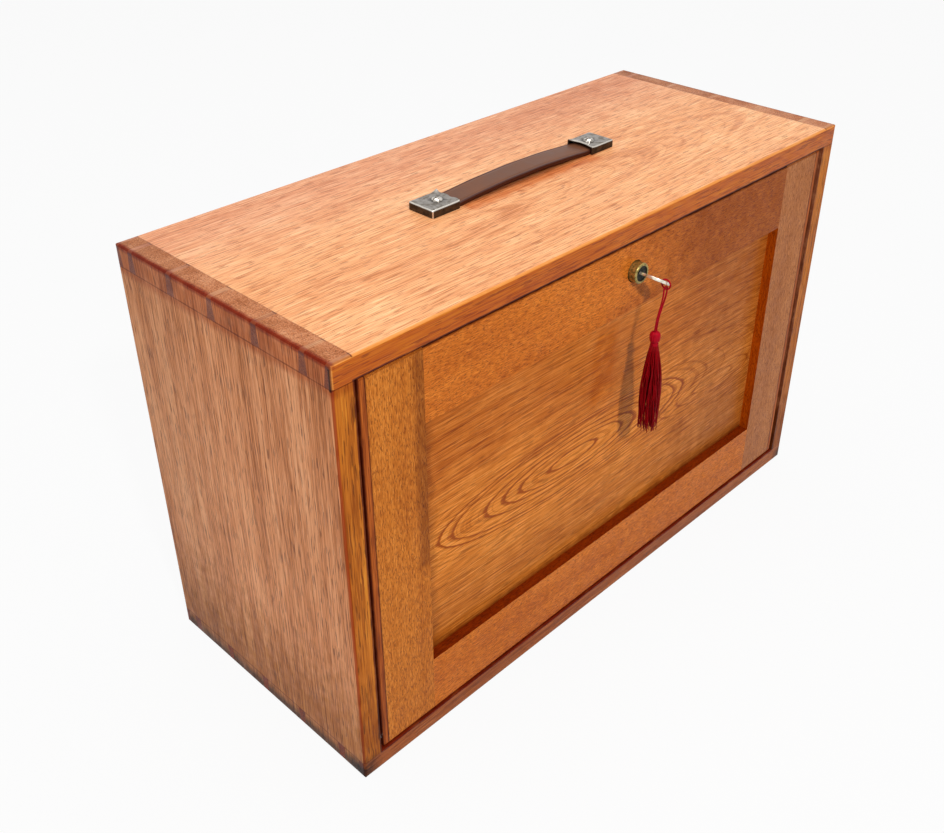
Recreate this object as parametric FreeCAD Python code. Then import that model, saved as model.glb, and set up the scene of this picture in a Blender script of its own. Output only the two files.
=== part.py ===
import FreeCAD, Part
import math
import os

# An engineers' tool chest in oak: a dovetailed case, a panelled fall front that turns on two
# hidden pins at its foot, six drawers behind it, a cam lock with its key and a leather handle.
# Units are millimetres. The origin is the centre of the case's underside, +Z is up, +X is to the
# right of someone facing the front, and the front faces -Y.

os.makedirs("parts", exist_ok=True)
Vec = FreeCAD.Vector

# Case sizes
case_width = 508.0
case_depth = 211.0
case_height = 320.0
side_thickness = 15.0
top_thickness = 15.0
bottom_thickness = 14.0
case_arris = 2.0
back_thickness = 6.0
back_rebate_width = 7.0

# Dovetails, with the pins on the top and bottom boards
pin_count = 5
pin_pitch = 42.5
first_pin_depth = 23.8
pin_narrow = 4.2
pin_wide = 7.6
half_pin_narrow = 3.8
half_pin_wide = 6.2

# Fall front
front_recess = 1.0
front_thickness = 18.0
front_side_gap = 3.0
front_top_gap = 2.0
front_foot_gap = 0.5
front_arris = 1.0
foot_arris = 3.0
lipping_width = 4.6
stile_width = 42.4
top_rail_height = 50.5
bottom_rail_height = 47.0
panel_thickness = 6.0
panel_set_back = 8.0
panel_tongue = 6.0
tenon_length = 22.0
pivot_depth = 4.0
pivot_height = 8.5
pivot_radius = 2.0
pivot_embedded = 18.0
pivot_reach = 8.0
pivot_clearance = 0.08
pivot_end_room = 0.5

# Stop rail under the top, shelves and partition
stop_rail_height = 11.0
stop_rail_thickness = 8.0
stop_rail_gap = 1.0
slot_height = 26.0
dust_board_thickness = 3.0
dust_board_depth = 30.0
shelf_thickness = 4.0
shelf_housing = 4.0
partition_thickness = 8.0

# Drawers, counted from the bottom. The bottom drawer takes the height that the others leave.
drawer_set_back = 41.0
drawer_front_thickness = 10.0
drawer_side_thickness = 7.0
drawer_back_thickness = 7.0
drawer_back_drop = 4.0
drawer_bottom_thickness = 3.5
drawer_bottom_height = 3.0
drawer_bottom_tongue = 3.0
drawer_front_lap = 4.0
drawer_side_gap = 1.0
drawer_row_gap = 2.0
drawer_shelf_gap = 1.0
drawer_rear_gap = 3.0
middle_drawer_heights = (52.0, 44.0, 38.0)
top_drawer_height = 36.0
drawer_head_room = 6.0
runner_height = 6.0
runner_bite = 3.0
runner_clearance = 0.3
runner_level = 0.55
runner_set_in = 12.0
knob_spacing = 220.0
knob_radius = 7.5
knob_neck_radius = 3.2
knob_length = 14.0
knob_neck_length = 8.0

# Lock, key and tassel
lock_offset = 3.5
lock_below_head = 21.6
barrel_proud = 6.0
collar_radius = 7.3
collar_chamfer = 0.6
collar_bite = 6.0
collar_room = 0.6
barrel_radius = 6.4
barrel_room = 0.1
nut_across_flats = 17.0
nut_thickness = 4.0
plug_radius = 4.85
plug_face_radius = 5.5
plug_face_thickness = 1.0
plug_face_sunk = 0.3
plug_clearance = 0.06
cam_gap = 1.0
cam_width = 11.0
cam_length = 18.5
cam_thickness = 2.0
cam_face_gap = 0.1
cam_screw_head_radius = 3.5
cam_screw_head_thickness = 2.0
cam_screw_radius = 1.6
cam_screw_bite = 6.0
key_tilt = 31.0
key_thickness = 2.0
key_blade_width = 6.4
key_blade_length = 20.0
key_neck_width = 7.6
key_bow_width = 19.0
key_bow_length = 16.5
key_reach = 21.0
key_hole_radius = 2.5
key_rim = 3.0
bitting_depths = (1.2, 2.0, 0.8, 1.6)
bitting_pitch = 4.0
bitting_width = 3.2
keyway_clearance = 0.1
cord_diameter = 1.3
cord_ring_steps = 16
hitch_radius = 3.4
hitch_drop = 0.8
tassel_lean = 4.0
tassel_back_lean = 2.0
tassel_drop = 31.0
tassel_crown_radius = 2.6
tassel_crown_height = 1.7
tassel_head_radius = 3.7
tassel_head_height = 8.5
tassel_neck_radius = 2.6
tassel_neck_height = 5.0
tassel_shoulder_radius = 4.3
tassel_shoulder_height = 13.0
tassel_skirt_radius = 6.9
tassel_skirt_length = 66.0
tassel_flutes = 10
tassel_flute_share = 0.08

# Carrying handle
handle_length = 185.5
handle_depth = 106.5
handle_offset = 1.0
strap_width = 21.1
strap_thickness = 3.3
strap_bow = 3.0
strap_end_room = 3.0
cap_length = 25.0
cap_sheet = 1.1
cap_side_room = 0.1
cap_height = 5.7
cap_chamfer = 1.0
handle_screw_from_end = 15.0
handle_screw_head_radius = 3.9
handle_screw_crown_radius = 2.3
handle_screw_dome = 2.0
handle_screw_radius = 1.7
handle_screw_bite = 10.0
handle_screw_room = 0.1
handle_screw_slot = 1.0
strap_slot_travel = 6.0

# Places worked out from the sizes
case_left = -case_width / 2
case_right = case_width / 2
case_front = -case_depth / 2
case_back = case_depth / 2
inner_left = case_left + side_thickness
inner_right = case_right - side_thickness
top_underside = case_height - top_thickness
back_face = case_back - back_thickness

front_left = inner_left + front_side_gap
front_right = inner_right - front_side_gap
front_foot = bottom_thickness + front_foot_gap
front_head = top_underside - front_top_gap
front_face = case_front + front_recess
front_rear = front_face + front_thickness
panel_face = front_face + panel_set_back
panel_rear = panel_face + panel_thickness
stile_left = front_left + lipping_width
stile_right = front_right - lipping_width
opening_left = stile_left + stile_width
opening_right = stile_right - stile_width
opening_foot = front_foot + bottom_rail_height
opening_head = front_head - top_rail_height
pivot_y = front_face + pivot_depth
pivot_z = front_foot + pivot_height

stop_rail_front = front_rear + stop_rail_gap
stop_rail_rear = stop_rail_front + stop_rail_thickness
dust_board_foot = bottom_thickness + slot_height
drawers_foot = dust_board_foot + dust_board_thickness + drawer_shelf_gap
drawer_face = case_front + drawer_set_back
drawer_rear = back_face - drawer_rear_gap
drawers_head = top_underside - stop_rail_height - drawer_head_room
top_drawers_foot = drawers_head - top_drawer_height
shelf_top = top_drawers_foot - drawer_shelf_gap
shelf_foot = shelf_top - shelf_thickness
long_drawers_height = shelf_foot - drawer_shelf_gap - drawers_foot
row_gaps_height = drawer_row_gap * len(middle_drawer_heights)
bottom_drawer_height = long_drawers_height - row_gaps_height - sum(middle_drawer_heights)
runner_reach = drawer_side_gap + runner_bite

lock_x = lock_offset
lock_height = front_head - lock_below_head
collar_front = front_face - barrel_proud
collar_rear = front_face + collar_bite
cam_front = stop_rail_rear + cam_gap
cam_rear = cam_front + cam_thickness
barrel_rear = cam_front - cam_face_gap
key_tip = collar_front - key_reach
rim_middle = key_tip + key_rim / 2
hole_middle = key_tip + key_rim + key_hole_radius
swing_z = lock_height - hitch_drop - hitch_radius
tassel_head_top = swing_z - tassel_drop
cap_width = strap_width + 2 * (cap_sheet + cap_side_room)
handle_y = case_front + handle_depth


def block(x_low, x_high, y_low, y_high, z_low, z_high):
    """A box between two opposite corners."""
    size = (x_high - x_low, y_high - y_low, z_high - z_low)
    return Part.makeBox(size[0], size[1], size[2], Vec(x_low, y_low, z_low))


def prism_x(outline, x_low, x_high):
    """A closed outline of (y, z) points, pushed along X."""
    points = [Vec(x_low, y, z) for y, z in outline]
    face = Part.Face(Part.makePolygon(points + points[:1]))
    return face.extrude(Vec(x_high - x_low, 0, 0))


def rod_y(x, z, y_low, y_high, radius):
    """A round rod along Y."""
    return Part.makeCylinder(radius, y_high - y_low, Vec(x, y_low, z), Vec(0, 1, 0))


def turned_about_y(profile, x, z):
    """A turned solid whose axis lies along Y, from (radius, y) points that start and end on it."""
    points = [Vec(x + radius, y, z) for radius, y in profile]
    face = Part.Face(Part.makePolygon(points + points[:1]))
    return face.revolve(Vec(x, 0, z), Vec(0, 1, 0), 360)


def export(name, *solids):
    """Writes one node's solids to its own file."""
    shape = solids[0] if len(solids) == 1 else Part.makeCompound(list(solids))
    shape.exportStep("parts/" + name + ".step")
    print(name, len(shape.Solids), "solids", round(shape.Volume, 1), "mm3", shape.isValid())


# Case boards. The arrises are rounded after the glue-up, so one rounded block trims every board.
# It is what three blocks share, each rounded along one axis, as a hand plane leaves the corners.
square_block = block(case_left, case_right, case_front, case_back, 0, case_height)
case_block = square_block
for axis in (Vec(1, 0, 0), Vec(0, 1, 0), Vec(0, 0, 1)):
    along = [edge for edge in square_block.Edges if edge.tangentAt(0).cross(axis).Length < 1e-6]
    case_block = case_block.common(square_block.makeFillet(case_arris, along))
back_panel = block(
    inner_left - back_rebate_width,
    inner_right + back_rebate_width,
    back_face,
    case_back,
    bottom_thickness - back_rebate_width,
    top_underside + back_rebate_width,
)


def dovetail_pins(x_low, x_high, z_outer, z_inner):
    """The pins and half pins that pass through one side board, narrow at the board's outer face."""
    y = case_front
    outlines = [
        [(y, z_outer), (y + half_pin_narrow, z_outer), (y + half_pin_wide, z_inner), (y, z_inner)]
    ]
    y = case_back
    outlines.append(
        [(y, z_outer), (y - half_pin_narrow, z_outer), (y - half_pin_wide, z_inner), (y, z_inner)]
    )
    for number in range(pin_count):
        y = case_front + first_pin_depth + pin_pitch * number
        outlines.append(
            [
                (y - pin_narrow / 2, z_outer),
                (y + pin_narrow / 2, z_outer),
                (y + pin_wide / 2, z_inner),
                (y - pin_wide / 2, z_inner),
            ]
        )
    return [prism_x(outline, x_low, x_high) for outline in outlines]


def pinned_board(z_outer, z_inner):
    """The top or bottom board: the part between the sides, and the pins at both ends."""
    middle = block(inner_left, inner_right, case_front, case_back, *sorted((z_outer, z_inner)))
    pins = dovetail_pins(case_left, inner_left, z_outer, z_inner)
    pins += dovetail_pins(inner_right, case_right, z_outer, z_inner)
    return middle.multiFuse(pins).removeSplitter().cut(back_panel).common(case_block)


def side_board(x_low, x_high):
    """A side board with the tails that the pins leave, before its housings are cut."""
    pins = dovetail_pins(x_low, x_high, case_height, top_underside)
    pins += dovetail_pins(x_low, x_high, 0, bottom_thickness)
    board = block(x_low, x_high, case_front, case_back, 0, case_height)
    return board.cut(Part.makeCompound(pins)).cut(back_panel).common(case_block)


# Shelves, partition, stop rail and drawer runners inside the case
dust_board = block(
    inner_left - shelf_housing,
    inner_right + shelf_housing,
    case_front + dust_board_depth,
    back_face,
    dust_board_foot,
    dust_board_foot + dust_board_thickness,
)
top_shelf = block(
    inner_left - shelf_housing,
    inner_right + shelf_housing,
    drawer_face,
    back_face,
    shelf_foot,
    shelf_top,
)
partition = block(
    -partition_thickness / 2,
    partition_thickness / 2,
    drawer_face,
    back_face,
    shelf_top,
    top_underside,
)
stop_rail = block(
    inner_left,
    inner_right,
    stop_rail_front,
    stop_rail_rear,
    top_underside - stop_rail_height,
    top_underside,
)


def pivot_pin(x_side, outward):
    """The steel pin on one side of the front; outward is -1 on the left and 1 on the right."""
    inner_end = Vec(x_side - outward * pivot_embedded, pivot_y, pivot_z)
    length = pivot_embedded + front_side_gap + pivot_reach
    return Part.makeCylinder(pivot_radius, length, inner_end, Vec(outward, 0, 0))


def pivot_socket(x_side, outward):
    """The blind hole for a pivot pin in a case side, with its running clearance."""
    length = pivot_reach + pivot_end_room
    start = Vec(x_side, pivot_y, pivot_z)
    return Part.makeCylinder(pivot_radius + pivot_clearance, length, start, Vec(outward, 0, 0))


handle_screw_places = [
    handle_offset + side * (handle_length / 2 - handle_screw_from_end) for side in (-1, 1)
]


def handle_screw_hole(x, z_low, z_high):
    """The hole round a handle screw."""
    radius = handle_screw_radius + handle_screw_room
    return Part.makeCylinder(radius, z_high - z_low, Vec(x, handle_y, z_low))


case_top = pinned_board(case_height, top_underside)
for x in handle_screw_places:
    case_top = case_top.cut(handle_screw_hole(x, case_height - handle_screw_bite, case_height))
shelves = Part.makeCompound([dust_board, top_shelf])
left_side = side_board(case_left, inner_left).cut(shelves).cut(pivot_socket(inner_left, -1))
right_side = side_board(inner_right, case_right).cut(shelves).cut(pivot_socket(inner_right, 1))

export("case_top", case_top)
export("case_bottom", pinned_board(0, bottom_thickness))
export("case_left_side", left_side)
export("case_right_side", right_side)
export("case_back", back_panel.common(case_block))
export("drawer_shelves", dust_board, top_shelf)
export("centre_partition", partition)
export("stop_rail", stop_rail)


# Drawers. Each one hangs on two runners, which fit grooves in its sides.
def drawer_bay(x_low, x_high, z_low, height, knobs):
    """One drawer's bay: the space between the walls that carry its runners, and its knob places."""
    return {"x": (x_low, x_high), "z": (z_low, z_low + height), "knobs": knobs}


drawer_bays = {}
row_foot = drawers_foot
for number, height in enumerate((bottom_drawer_height, *middle_drawer_heights), 1):
    knobs = (-knob_spacing / 2, knob_spacing / 2)
    drawer_bays[f"drawer_{number}"] = drawer_bay(inner_left, inner_right, row_foot, height, knobs)
    row_foot += height + drawer_row_gap
for side, x_low, x_high in (
    ("left", inner_left, -partition_thickness / 2),
    ("right", partition_thickness / 2, inner_right),
):
    knobs = ((x_low + x_high) / 2,)
    drawer_bays["top_drawer_" + side] = drawer_bay(
        x_low, x_high, top_drawers_foot, top_drawer_height, knobs
    )


def runner_z(bay):
    """The lower edge of a bay's runners."""
    z_low, z_high = bay["z"]
    return z_low + (z_high - z_low) * runner_level


def bay_runners(bay):
    """The two strips on the bay's walls."""
    x_low, x_high = bay["x"]
    z_low = runner_z(bay)
    y_low = drawer_face + runner_set_in
    strips = ((x_low, x_low + runner_reach), (x_high - runner_reach, x_high))
    return [block(a, b, y_low, back_face, z_low, z_low + runner_height) for a, b in strips]


def knob(x, z):
    """A turned knob that seats on a drawer front."""
    shoulder = drawer_face - knob_neck_length
    tip = drawer_face - knob_length
    profile = [
        (0, drawer_face),
        (knob_neck_radius, drawer_face),
        (knob_neck_radius, shoulder),
        (knob_radius, shoulder),
        (knob_radius, tip),
        (0, tip),
    ]
    return turned_about_y(profile, x, z)


def make_drawer(name, bay):
    """Writes the front, sides, back, bottom and knobs of one drawer."""
    x_low = bay["x"][0] + drawer_side_gap
    x_high = bay["x"][1] - drawer_side_gap
    z_low, z_high = bay["z"]
    inside_low = x_low + drawer_side_thickness
    inside_high = x_high - drawer_side_thickness
    bottom_foot = z_low + drawer_bottom_height
    bottom = block(
        inside_low - drawer_bottom_tongue,
        inside_high + drawer_bottom_tongue,
        drawer_face + drawer_front_thickness - drawer_bottom_tongue,
        drawer_rear,
        bottom_foot,
        bottom_foot + drawer_bottom_thickness,
    )
    side_front = drawer_face + drawer_front_lap
    sides = [
        block(x_low, inside_low, side_front, drawer_rear, z_low, z_high),
        block(inside_high, x_high, side_front, drawer_rear, z_low, z_high),
    ]
    front_rear_y = drawer_face + drawer_front_thickness
    front = block(x_low, x_high, drawer_face, front_rear_y, z_low, z_high)
    front = front.cut(Part.makeCompound(sides)).cut(bottom)
    groove_low = runner_z(bay) - runner_clearance
    groove_high = groove_low + runner_height + 2 * runner_clearance
    groove_deep = runner_bite + runner_clearance
    groove_front = drawer_face + runner_set_in - runner_clearance
    grooves = [
        block(x_low, x_low + groove_deep, groove_front, drawer_rear, groove_low, groove_high),
        block(x_high - groove_deep, x_high, groove_front, drawer_rear, groove_low, groove_high),
    ]
    sides = [side.cut(bottom).cut(groove) for side, groove in zip(sides, grooves)]
    back = block(
        inside_low,
        inside_high,
        drawer_rear - drawer_back_thickness,
        drawer_rear,
        bottom_foot + drawer_bottom_thickness,
        z_high - drawer_back_drop,
    )
    export(name + "_front", front)
    export(name + "_sides", *sides)
    export(name + "_back", back)
    export(name + "_bottom", bottom)
    export(name + "_knobs", *[knob(x, (z_low + z_high) / 2) for x in bay["knobs"]])


for name, bay in drawer_bays.items():
    make_drawer(name, bay)
export("drawer_runners", *[strip for bay in drawer_bays.values() for strip in bay_runners(bay)])

# Fall front. One rounded block trims its boards, with a rounder foot that clears the case bottom.
front_block = block(front_left, front_right, front_face, front_rear, front_foot, front_head)
face_edges = [edge for edge in front_block.Edges if abs(edge.BoundBox.YMax - front_face) < 1e-6]
foot_edges = [edge for edge in face_edges if abs(edge.BoundBox.ZMax - front_foot) < 1e-6]
front_block = front_block.makeFillet(foot_arris, foot_edges)
other_edges = [
    edge
    for edge in front_block.Edges
    if abs(edge.BoundBox.YMax - front_face) < 1e-6 and edge.BoundBox.ZMax > front_head - 1e-6
]
front_block = front_block.makeChamfer(front_arris, other_edges)

panel = block(
    opening_left - panel_tongue,
    opening_right + panel_tongue,
    panel_face,
    panel_rear,
    opening_foot - panel_tongue,
    opening_head + panel_tongue,
)
pins = [pivot_pin(front_left, -1), pivot_pin(front_right, 1)]


def rail(z_low, z_high):
    """A rail between the stiles, with a tenon at each end that is as thick as the panel."""
    body = block(opening_left, opening_right, front_face, front_rear, z_low, z_high)
    tenon = block(
        opening_left - tenon_length,
        opening_right + tenon_length,
        panel_face,
        panel_rear,
        max(z_low, front_foot + panel_tongue),
        min(z_high, front_head - panel_tongue),
    )
    return body.fuse(tenon).removeSplitter().cut(panel).common(front_block)


def stile(x_low, x_high, rails):
    """An upright of the front, mortised for the rails and grooved for the panel."""
    board = block(x_low, x_high, front_face, front_rear, front_foot, front_head)
    for piece in rails + [panel] + pins:
        board = board.cut(piece)
    return board.common(front_block)


def lipping(x_low, x_high):
    """The thin strip on the outer edge of a stile."""
    strip = block(x_low, x_high, front_face, front_rear, front_foot, front_head)
    return strip.cut(Part.makeCompound(pins)).common(front_block)


lock_holes = [
    rod_y(lock_x, lock_height, front_face, collar_rear, collar_radius + collar_room),
    rod_y(lock_x, lock_height, collar_rear, front_rear, barrel_radius + barrel_room),
]
bottom_rail = rail(front_foot, opening_foot)
top_rail = rail(opening_head, front_head)
for hole in lock_holes:
    top_rail = top_rail.cut(hole)

export("front_left_stile", stile(stile_left, opening_left, [bottom_rail, top_rail]))
export("front_right_stile", stile(opening_right, stile_right, [bottom_rail, top_rail]))
export("front_top_rail", top_rail)
export("front_bottom_rail", bottom_rail)
export("front_panel", panel)
export("front_lippings", lipping(front_left, stile_left), lipping(stile_right, front_right))
export("pivot_pins", *pins)

# Lock. The barrel passes through the top rail, and its nut clamps it from behind.
bore = rod_y(lock_x, lock_height, collar_front, barrel_rear, plug_radius + plug_clearance)
face_seat = collar_front + plug_face_sunk + plug_face_thickness + plug_clearance
face_bore = rod_y(lock_x, lock_height, collar_front, face_seat, plug_face_radius + plug_clearance)
barrel = rod_y(lock_x, lock_height, collar_front, collar_rear, collar_radius)
rim_edges = [edge for edge in barrel.Edges if abs(edge.BoundBox.YMax - collar_front) < 1e-3]
barrel = barrel.makeChamfer(collar_chamfer, rim_edges)
barrel = barrel.fuse(rod_y(lock_x, lock_height, collar_rear, barrel_rear, barrel_radius))
barrel = barrel.cut(bore).cut(face_bore)

nut_corner = nut_across_flats / math.sqrt(3)
nut_points = []
for number in range(7):
    angle = math.radians(60 * number)
    x = lock_x + nut_corner * math.cos(angle)
    nut_points.append(Vec(x, front_rear, lock_height + nut_corner * math.sin(angle)))
nut = Part.Face(Part.makePolygon(nut_points)).extrude(Vec(0, nut_thickness, 0))
nut = nut.cut(rod_y(lock_x, lock_height, front_rear, front_rear + nut_thickness, barrel_radius))


def tilted(shape):
    """A shape turned about the lock's axis to the angle of the keyway."""
    shape = shape.copy()
    shape.rotate(Vec(lock_x, 0, lock_height), Vec(0, 1, 0), key_tilt)
    return shape


face_front = collar_front + plug_face_sunk
face_rear = face_front + plug_face_thickness
keyway_width = key_blade_width + 2 * keyway_clearance
keyway_thickness = key_thickness + 2 * keyway_clearance
keyway = tilted(
    block(
        lock_x - keyway_width / 2,
        lock_x + keyway_width / 2,
        face_front,
        face_front + key_blade_length + keyway_clearance,
        lock_height - keyway_thickness / 2,
        lock_height + keyway_thickness / 2,
    )
)
plug = rod_y(lock_x, lock_height, face_front, face_rear, plug_face_radius)
plug = plug.fuse(rod_y(lock_x, lock_height, face_rear, cam_front, plug_radius)).cut(keyway)
screw_shank = rod_y(lock_x, lock_height, cam_front - cam_screw_bite, cam_rear, cam_screw_radius)
plug = plug.cut(screw_shank)
cam = rod_y(lock_x, lock_height, cam_front, cam_rear, cam_width / 2)
cam_tip = lock_x + cam_length - cam_width / 2
cam = cam.fuse(rod_y(cam_tip, lock_height, cam_front, cam_rear, cam_width / 2))
cam_half = cam_width / 2
cam_arm = block(
    lock_x, cam_tip, cam_front, cam_rear, lock_height - cam_half, lock_height + cam_half
)
cam = cam.fuse(cam_arm).removeSplitter().cut(screw_shank)
screw_rear = cam_rear + cam_screw_head_thickness
cam_screw = rod_y(lock_x, lock_height, cam_rear, screw_rear, cam_screw_head_radius)
cam_screw = cam_screw.fuse(screw_shank)

# Key: a flat blade with bitting, a neck and an oval bow with a hole near its tip
bow_middle = key_tip + key_bow_length / 2
key_low = lock_height - key_thickness / 2
bow = Part.makeCylinder(1, key_thickness, Vec(0, 0, 0))
stretch = FreeCAD.Matrix()
stretch.scale(key_bow_width / 2, key_bow_length / 2, 1)
bow = bow.transformGeometry(stretch)
bow.translate(Vec(lock_x, bow_middle, key_low))
neck_half = key_neck_width / 2
neck = block(
    lock_x - neck_half,
    lock_x + neck_half,
    bow_middle,
    face_front - keyway_clearance,
    key_low,
    key_low + key_thickness,
)
blade_half = key_blade_width / 2
blade = block(
    lock_x - blade_half,
    lock_x + blade_half,
    face_front - keyway_clearance,
    face_front + key_blade_length,
    key_low,
    key_low + key_thickness,
)
bitting = []
for number, depth in enumerate(bitting_depths, 1):
    y = face_front + bitting_pitch * number
    edge_x = lock_x + blade_half
    outline = [Vec(edge_x, y + reach, key_low) for reach in (-bitting_width / 2, bitting_width / 2)]
    outline.append(Vec(edge_x - depth, y, key_low))
    notch = Part.Face(Part.makePolygon(outline + outline[:1]))
    bitting.append(notch.extrude(Vec(0, 0, key_thickness)))
cord_hole = Part.makeCylinder(key_hole_radius, key_thickness, Vec(lock_x, hole_middle, key_low))
key = bow.fuse([neck, blade]).removeSplitter()
key = key.cut(Part.makeCompound(bitting)).cut(cord_hole)

export("lock_barrel", barrel)
export("lock_nut", nut)
export("lock_plug", plug)
export("lock_cam", cam)
export("cam_screw", cam_screw)
export("key", tilted(key))

# Tassel. A hitch of cord rings the key's rim, and a doubled cord hangs from it.
hitch_z = lock_height - hitch_drop


def circle_points(count, radius):
    """Points spaced evenly round a circle, as (across, up) pairs."""
    angles = [2 * math.pi * number / count for number in range(count)]
    return [(radius * math.cos(angle), radius * math.sin(angle)) for angle in angles]


def flat_sided_solid(rings, closed=False):
    """A solid with flat faces between rings of points; closed joins the last ring to the first."""
    faces = []
    pairs = list(zip(rings, rings[1:] + rings[:1] if closed else rings[1:]))
    for ring, following in pairs:
        for number in range(len(ring)):
            after = (number + 1) % len(ring)
            corners = [ring[number], ring[after], following[after], following[number]]
            faces.append(Part.Face(Part.makePolygon(corners + corners[:1])))
    if not closed:
        faces += [Part.Face(Part.makePolygon(ring + ring[:1])) for ring in (rings[0], rings[-1])]
    solid = Part.makeSolid(Part.makeShell(faces))
    return solid if solid.Volume > 0 else solid.reversed()


def cord_ring(centre, ring_radius, radius):
    """A closed ring of cord, six-sided in section, that stands in the YZ plane."""
    rings = []
    for out, up in circle_points(cord_ring_steps, 1):
        ring = []
        for across, reach in circle_points(6, radius):
            ring.append(centre + Vec(across, out * (ring_radius + reach), up * (ring_radius + reach)))
        rings.append(ring)
    return flat_sided_solid(rings, closed=True)


def cord_tube(points, radius, corner_share=0.45):
    """A tube along straight runs joined by tangent arcs; prints its radii and length."""
    edges = []
    radii = []
    start = points[0]
    for before, corner, after in zip(points, points[1:], points[2:]):
        back = before - corner
        ahead = after - corner
        turn = math.pi - back.getAngle(ahead)
        cut_back = corner_share * min(back.Length, ahead.Length)
        radii.append(cut_back / math.tan(turn / 2))
        arc_start = corner + back.normalize() * cut_back
        arc_end = corner + ahead.normalize() * cut_back
        middle = corner + (back + ahead).normalize() * (
            radii[-1] / math.cos(turn / 2) - radii[-1]
        )
        edges.append(Part.LineSegment(start, arc_start).toShape())
        edges.append(Part.Arc(arc_start, middle, arc_end).toShape())
        start = arc_end
    edges.append(Part.LineSegment(start, points[-1]).toShape())
    path = Part.Wire(edges)
    section = Part.makePolygon([Vec(x, y, 0) for x, y in circle_points(6, radius)] + [Vec(radius, 0, 0)])
    turn = FreeCAD.Rotation(Vec(0, 0, 1), points[1] - points[0])
    section.Placement = FreeCAD.Placement(points[0], turn)
    tube = path.makePipeShell([section], True, False)
    print("cord radii", [round(r, 1) for r in radii], "length", round(path.Length, 1))
    return tube


head_x = lock_x - tassel_lean
head_y = rim_middle + tassel_back_lean
cord_points = [
    Vec(head_x - 0.95, head_y, tassel_head_top),
    Vec(head_x - 0.55, head_y - 0.2, tassel_head_top + 8.0),
    Vec(head_x + 1.4, head_y - 1.0, tassel_head_top + 17.0),
    Vec(lock_x - 1.6, rim_middle, swing_z - 5.0),
    Vec(lock_x - 1.9, rim_middle, swing_z + 1.6),
    Vec(lock_x + 1.9, rim_middle, swing_z + 1.6),
    Vec(lock_x + 1.6, rim_middle, swing_z - 5.0),
    Vec(head_x + 3.3, head_y - 1.0, tassel_head_top + 17.0),
    Vec(head_x + 1.25, head_y - 0.2, tassel_head_top + 8.0),
    Vec(head_x + 0.95, head_y, tassel_head_top),
]


def thread_bundle(levels):
    """A fluted bundle of threads through (radius, z) levels; every second corner lies deeper."""
    rings = []
    for radius, z in levels:
        ring = []
        for number, (x, y) in enumerate(circle_points(2 * tassel_flutes, radius)):
            reach = 1 - tassel_flute_share * (number % 2)
            ring.append(Vec(head_x + x * reach, head_y + y * reach, z))
        rings.append(ring)
    return flat_sided_solid(rings)


neck_top = tassel_head_top - tassel_head_height
skirt_top = neck_top - tassel_neck_height
tassel_foot = skirt_top - tassel_skirt_length
tassel_head = thread_bundle(
    [
        (tassel_crown_radius, tassel_head_top),
        (tassel_head_radius, tassel_head_top - tassel_crown_height),
        (tassel_head_radius, neck_top + tassel_crown_height),
        (tassel_neck_radius, neck_top),
    ]
)
tassel_skirt = thread_bundle(
    [
        (tassel_neck_radius, neck_top),
        (tassel_neck_radius, skirt_top),
        (tassel_shoulder_radius, skirt_top - tassel_shoulder_height),
        (tassel_skirt_radius, tassel_foot),
    ]
)
export("cord_hitch", cord_ring(Vec(lock_x, rim_middle, hitch_z), hitch_radius, cord_diameter / 2))
export("tassel_cord", cord_tube(cord_points, cord_diameter / 2))
export("tassel_head", tassel_head)
export("tassel_skirt", tassel_skirt)

# Handle. The strap bows up between two sheet-steel caps, and its slotted ends can slide in them.
strap_half = handle_length / 2 - cap_sheet - strap_end_room
mouth_half = handle_length / 2 - cap_length


def strap_line(z):
    """The strap's line seen from the front: flat in the caps and bowed between them."""
    ends = [Vec(handle_offset + x, 0, z) for x in (-strap_half, -mouth_half, mouth_half, strap_half)]
    crown = Vec(handle_offset, 0, z + strap_bow)
    first = Part.LineSegment(ends[0], ends[1]).toShape()
    last = Part.LineSegment(ends[2], ends[3]).toShape()
    return [first, Part.Arc(ends[1], crown, ends[2]).toShape(), last]


strap_low = strap_line(case_height)
strap_high = strap_line(case_height + strap_thickness)
strap_ends = [
    Part.LineSegment(strap_low[i].Vertexes[i].Point, strap_high[i].Vertexes[i].Point).toShape()
    for i in (0, -1)
]
strap_outline = Part.Wire(Part.__sortEdges__(strap_low + strap_high + strap_ends))
strap = Part.Face(strap_outline).extrude(Vec(0, strap_width, 0))
strap.translate(Vec(0, handle_y - strap_width / 2, 0))
for x in handle_screw_places:
    radius = handle_screw_radius + handle_screw_room
    for shift in (-strap_slot_travel / 2, strap_slot_travel / 2):
        slot_end = Vec(x + shift, handle_y, case_height)
        strap = strap.cut(Part.makeCylinder(radius, strap_thickness + strap_bow, slot_end))
    slot_half = strap_slot_travel / 2
    slot_top = case_height + strap_thickness + strap_bow
    strap = strap.cut(
        block(
            x - slot_half,
            x + slot_half,
            handle_y - radius,
            handle_y + radius,
            case_height,
            slot_top,
        )
    )


def handle_cap(outward):
    """One pressed cap, open at its inner end; outward is -1 on the left and 1 on the right."""
    outer = handle_offset + outward * handle_length / 2
    inner = outer - outward * cap_length
    x_low, x_high = sorted((outer, inner))
    y_low = handle_y - cap_width / 2
    y_high = handle_y + cap_width / 2
    z_high = case_height + cap_height
    shell = block(x_low, x_high, y_low, y_high, case_height, z_high)
    top_edges = [
        edge
        for edge in shell.Edges
        if edge.BoundBox.ZMin > z_high - 1e-6 and abs(edge.CenterOfMass.x - inner) > 1e-6
    ]
    shell = shell.makeChamfer(cap_chamfer, top_edges)
    inside = sorted((outer - outward * cap_sheet, inner))
    hollow = block(
        inside[0],
        inside[1],
        y_low + cap_sheet,
        y_high - cap_sheet,
        case_height,
        z_high - cap_sheet,
    )
    screw_x = outer - outward * handle_screw_from_end
    return shell.cut(hollow).cut(handle_screw_hole(screw_x, case_height, z_high))


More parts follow.
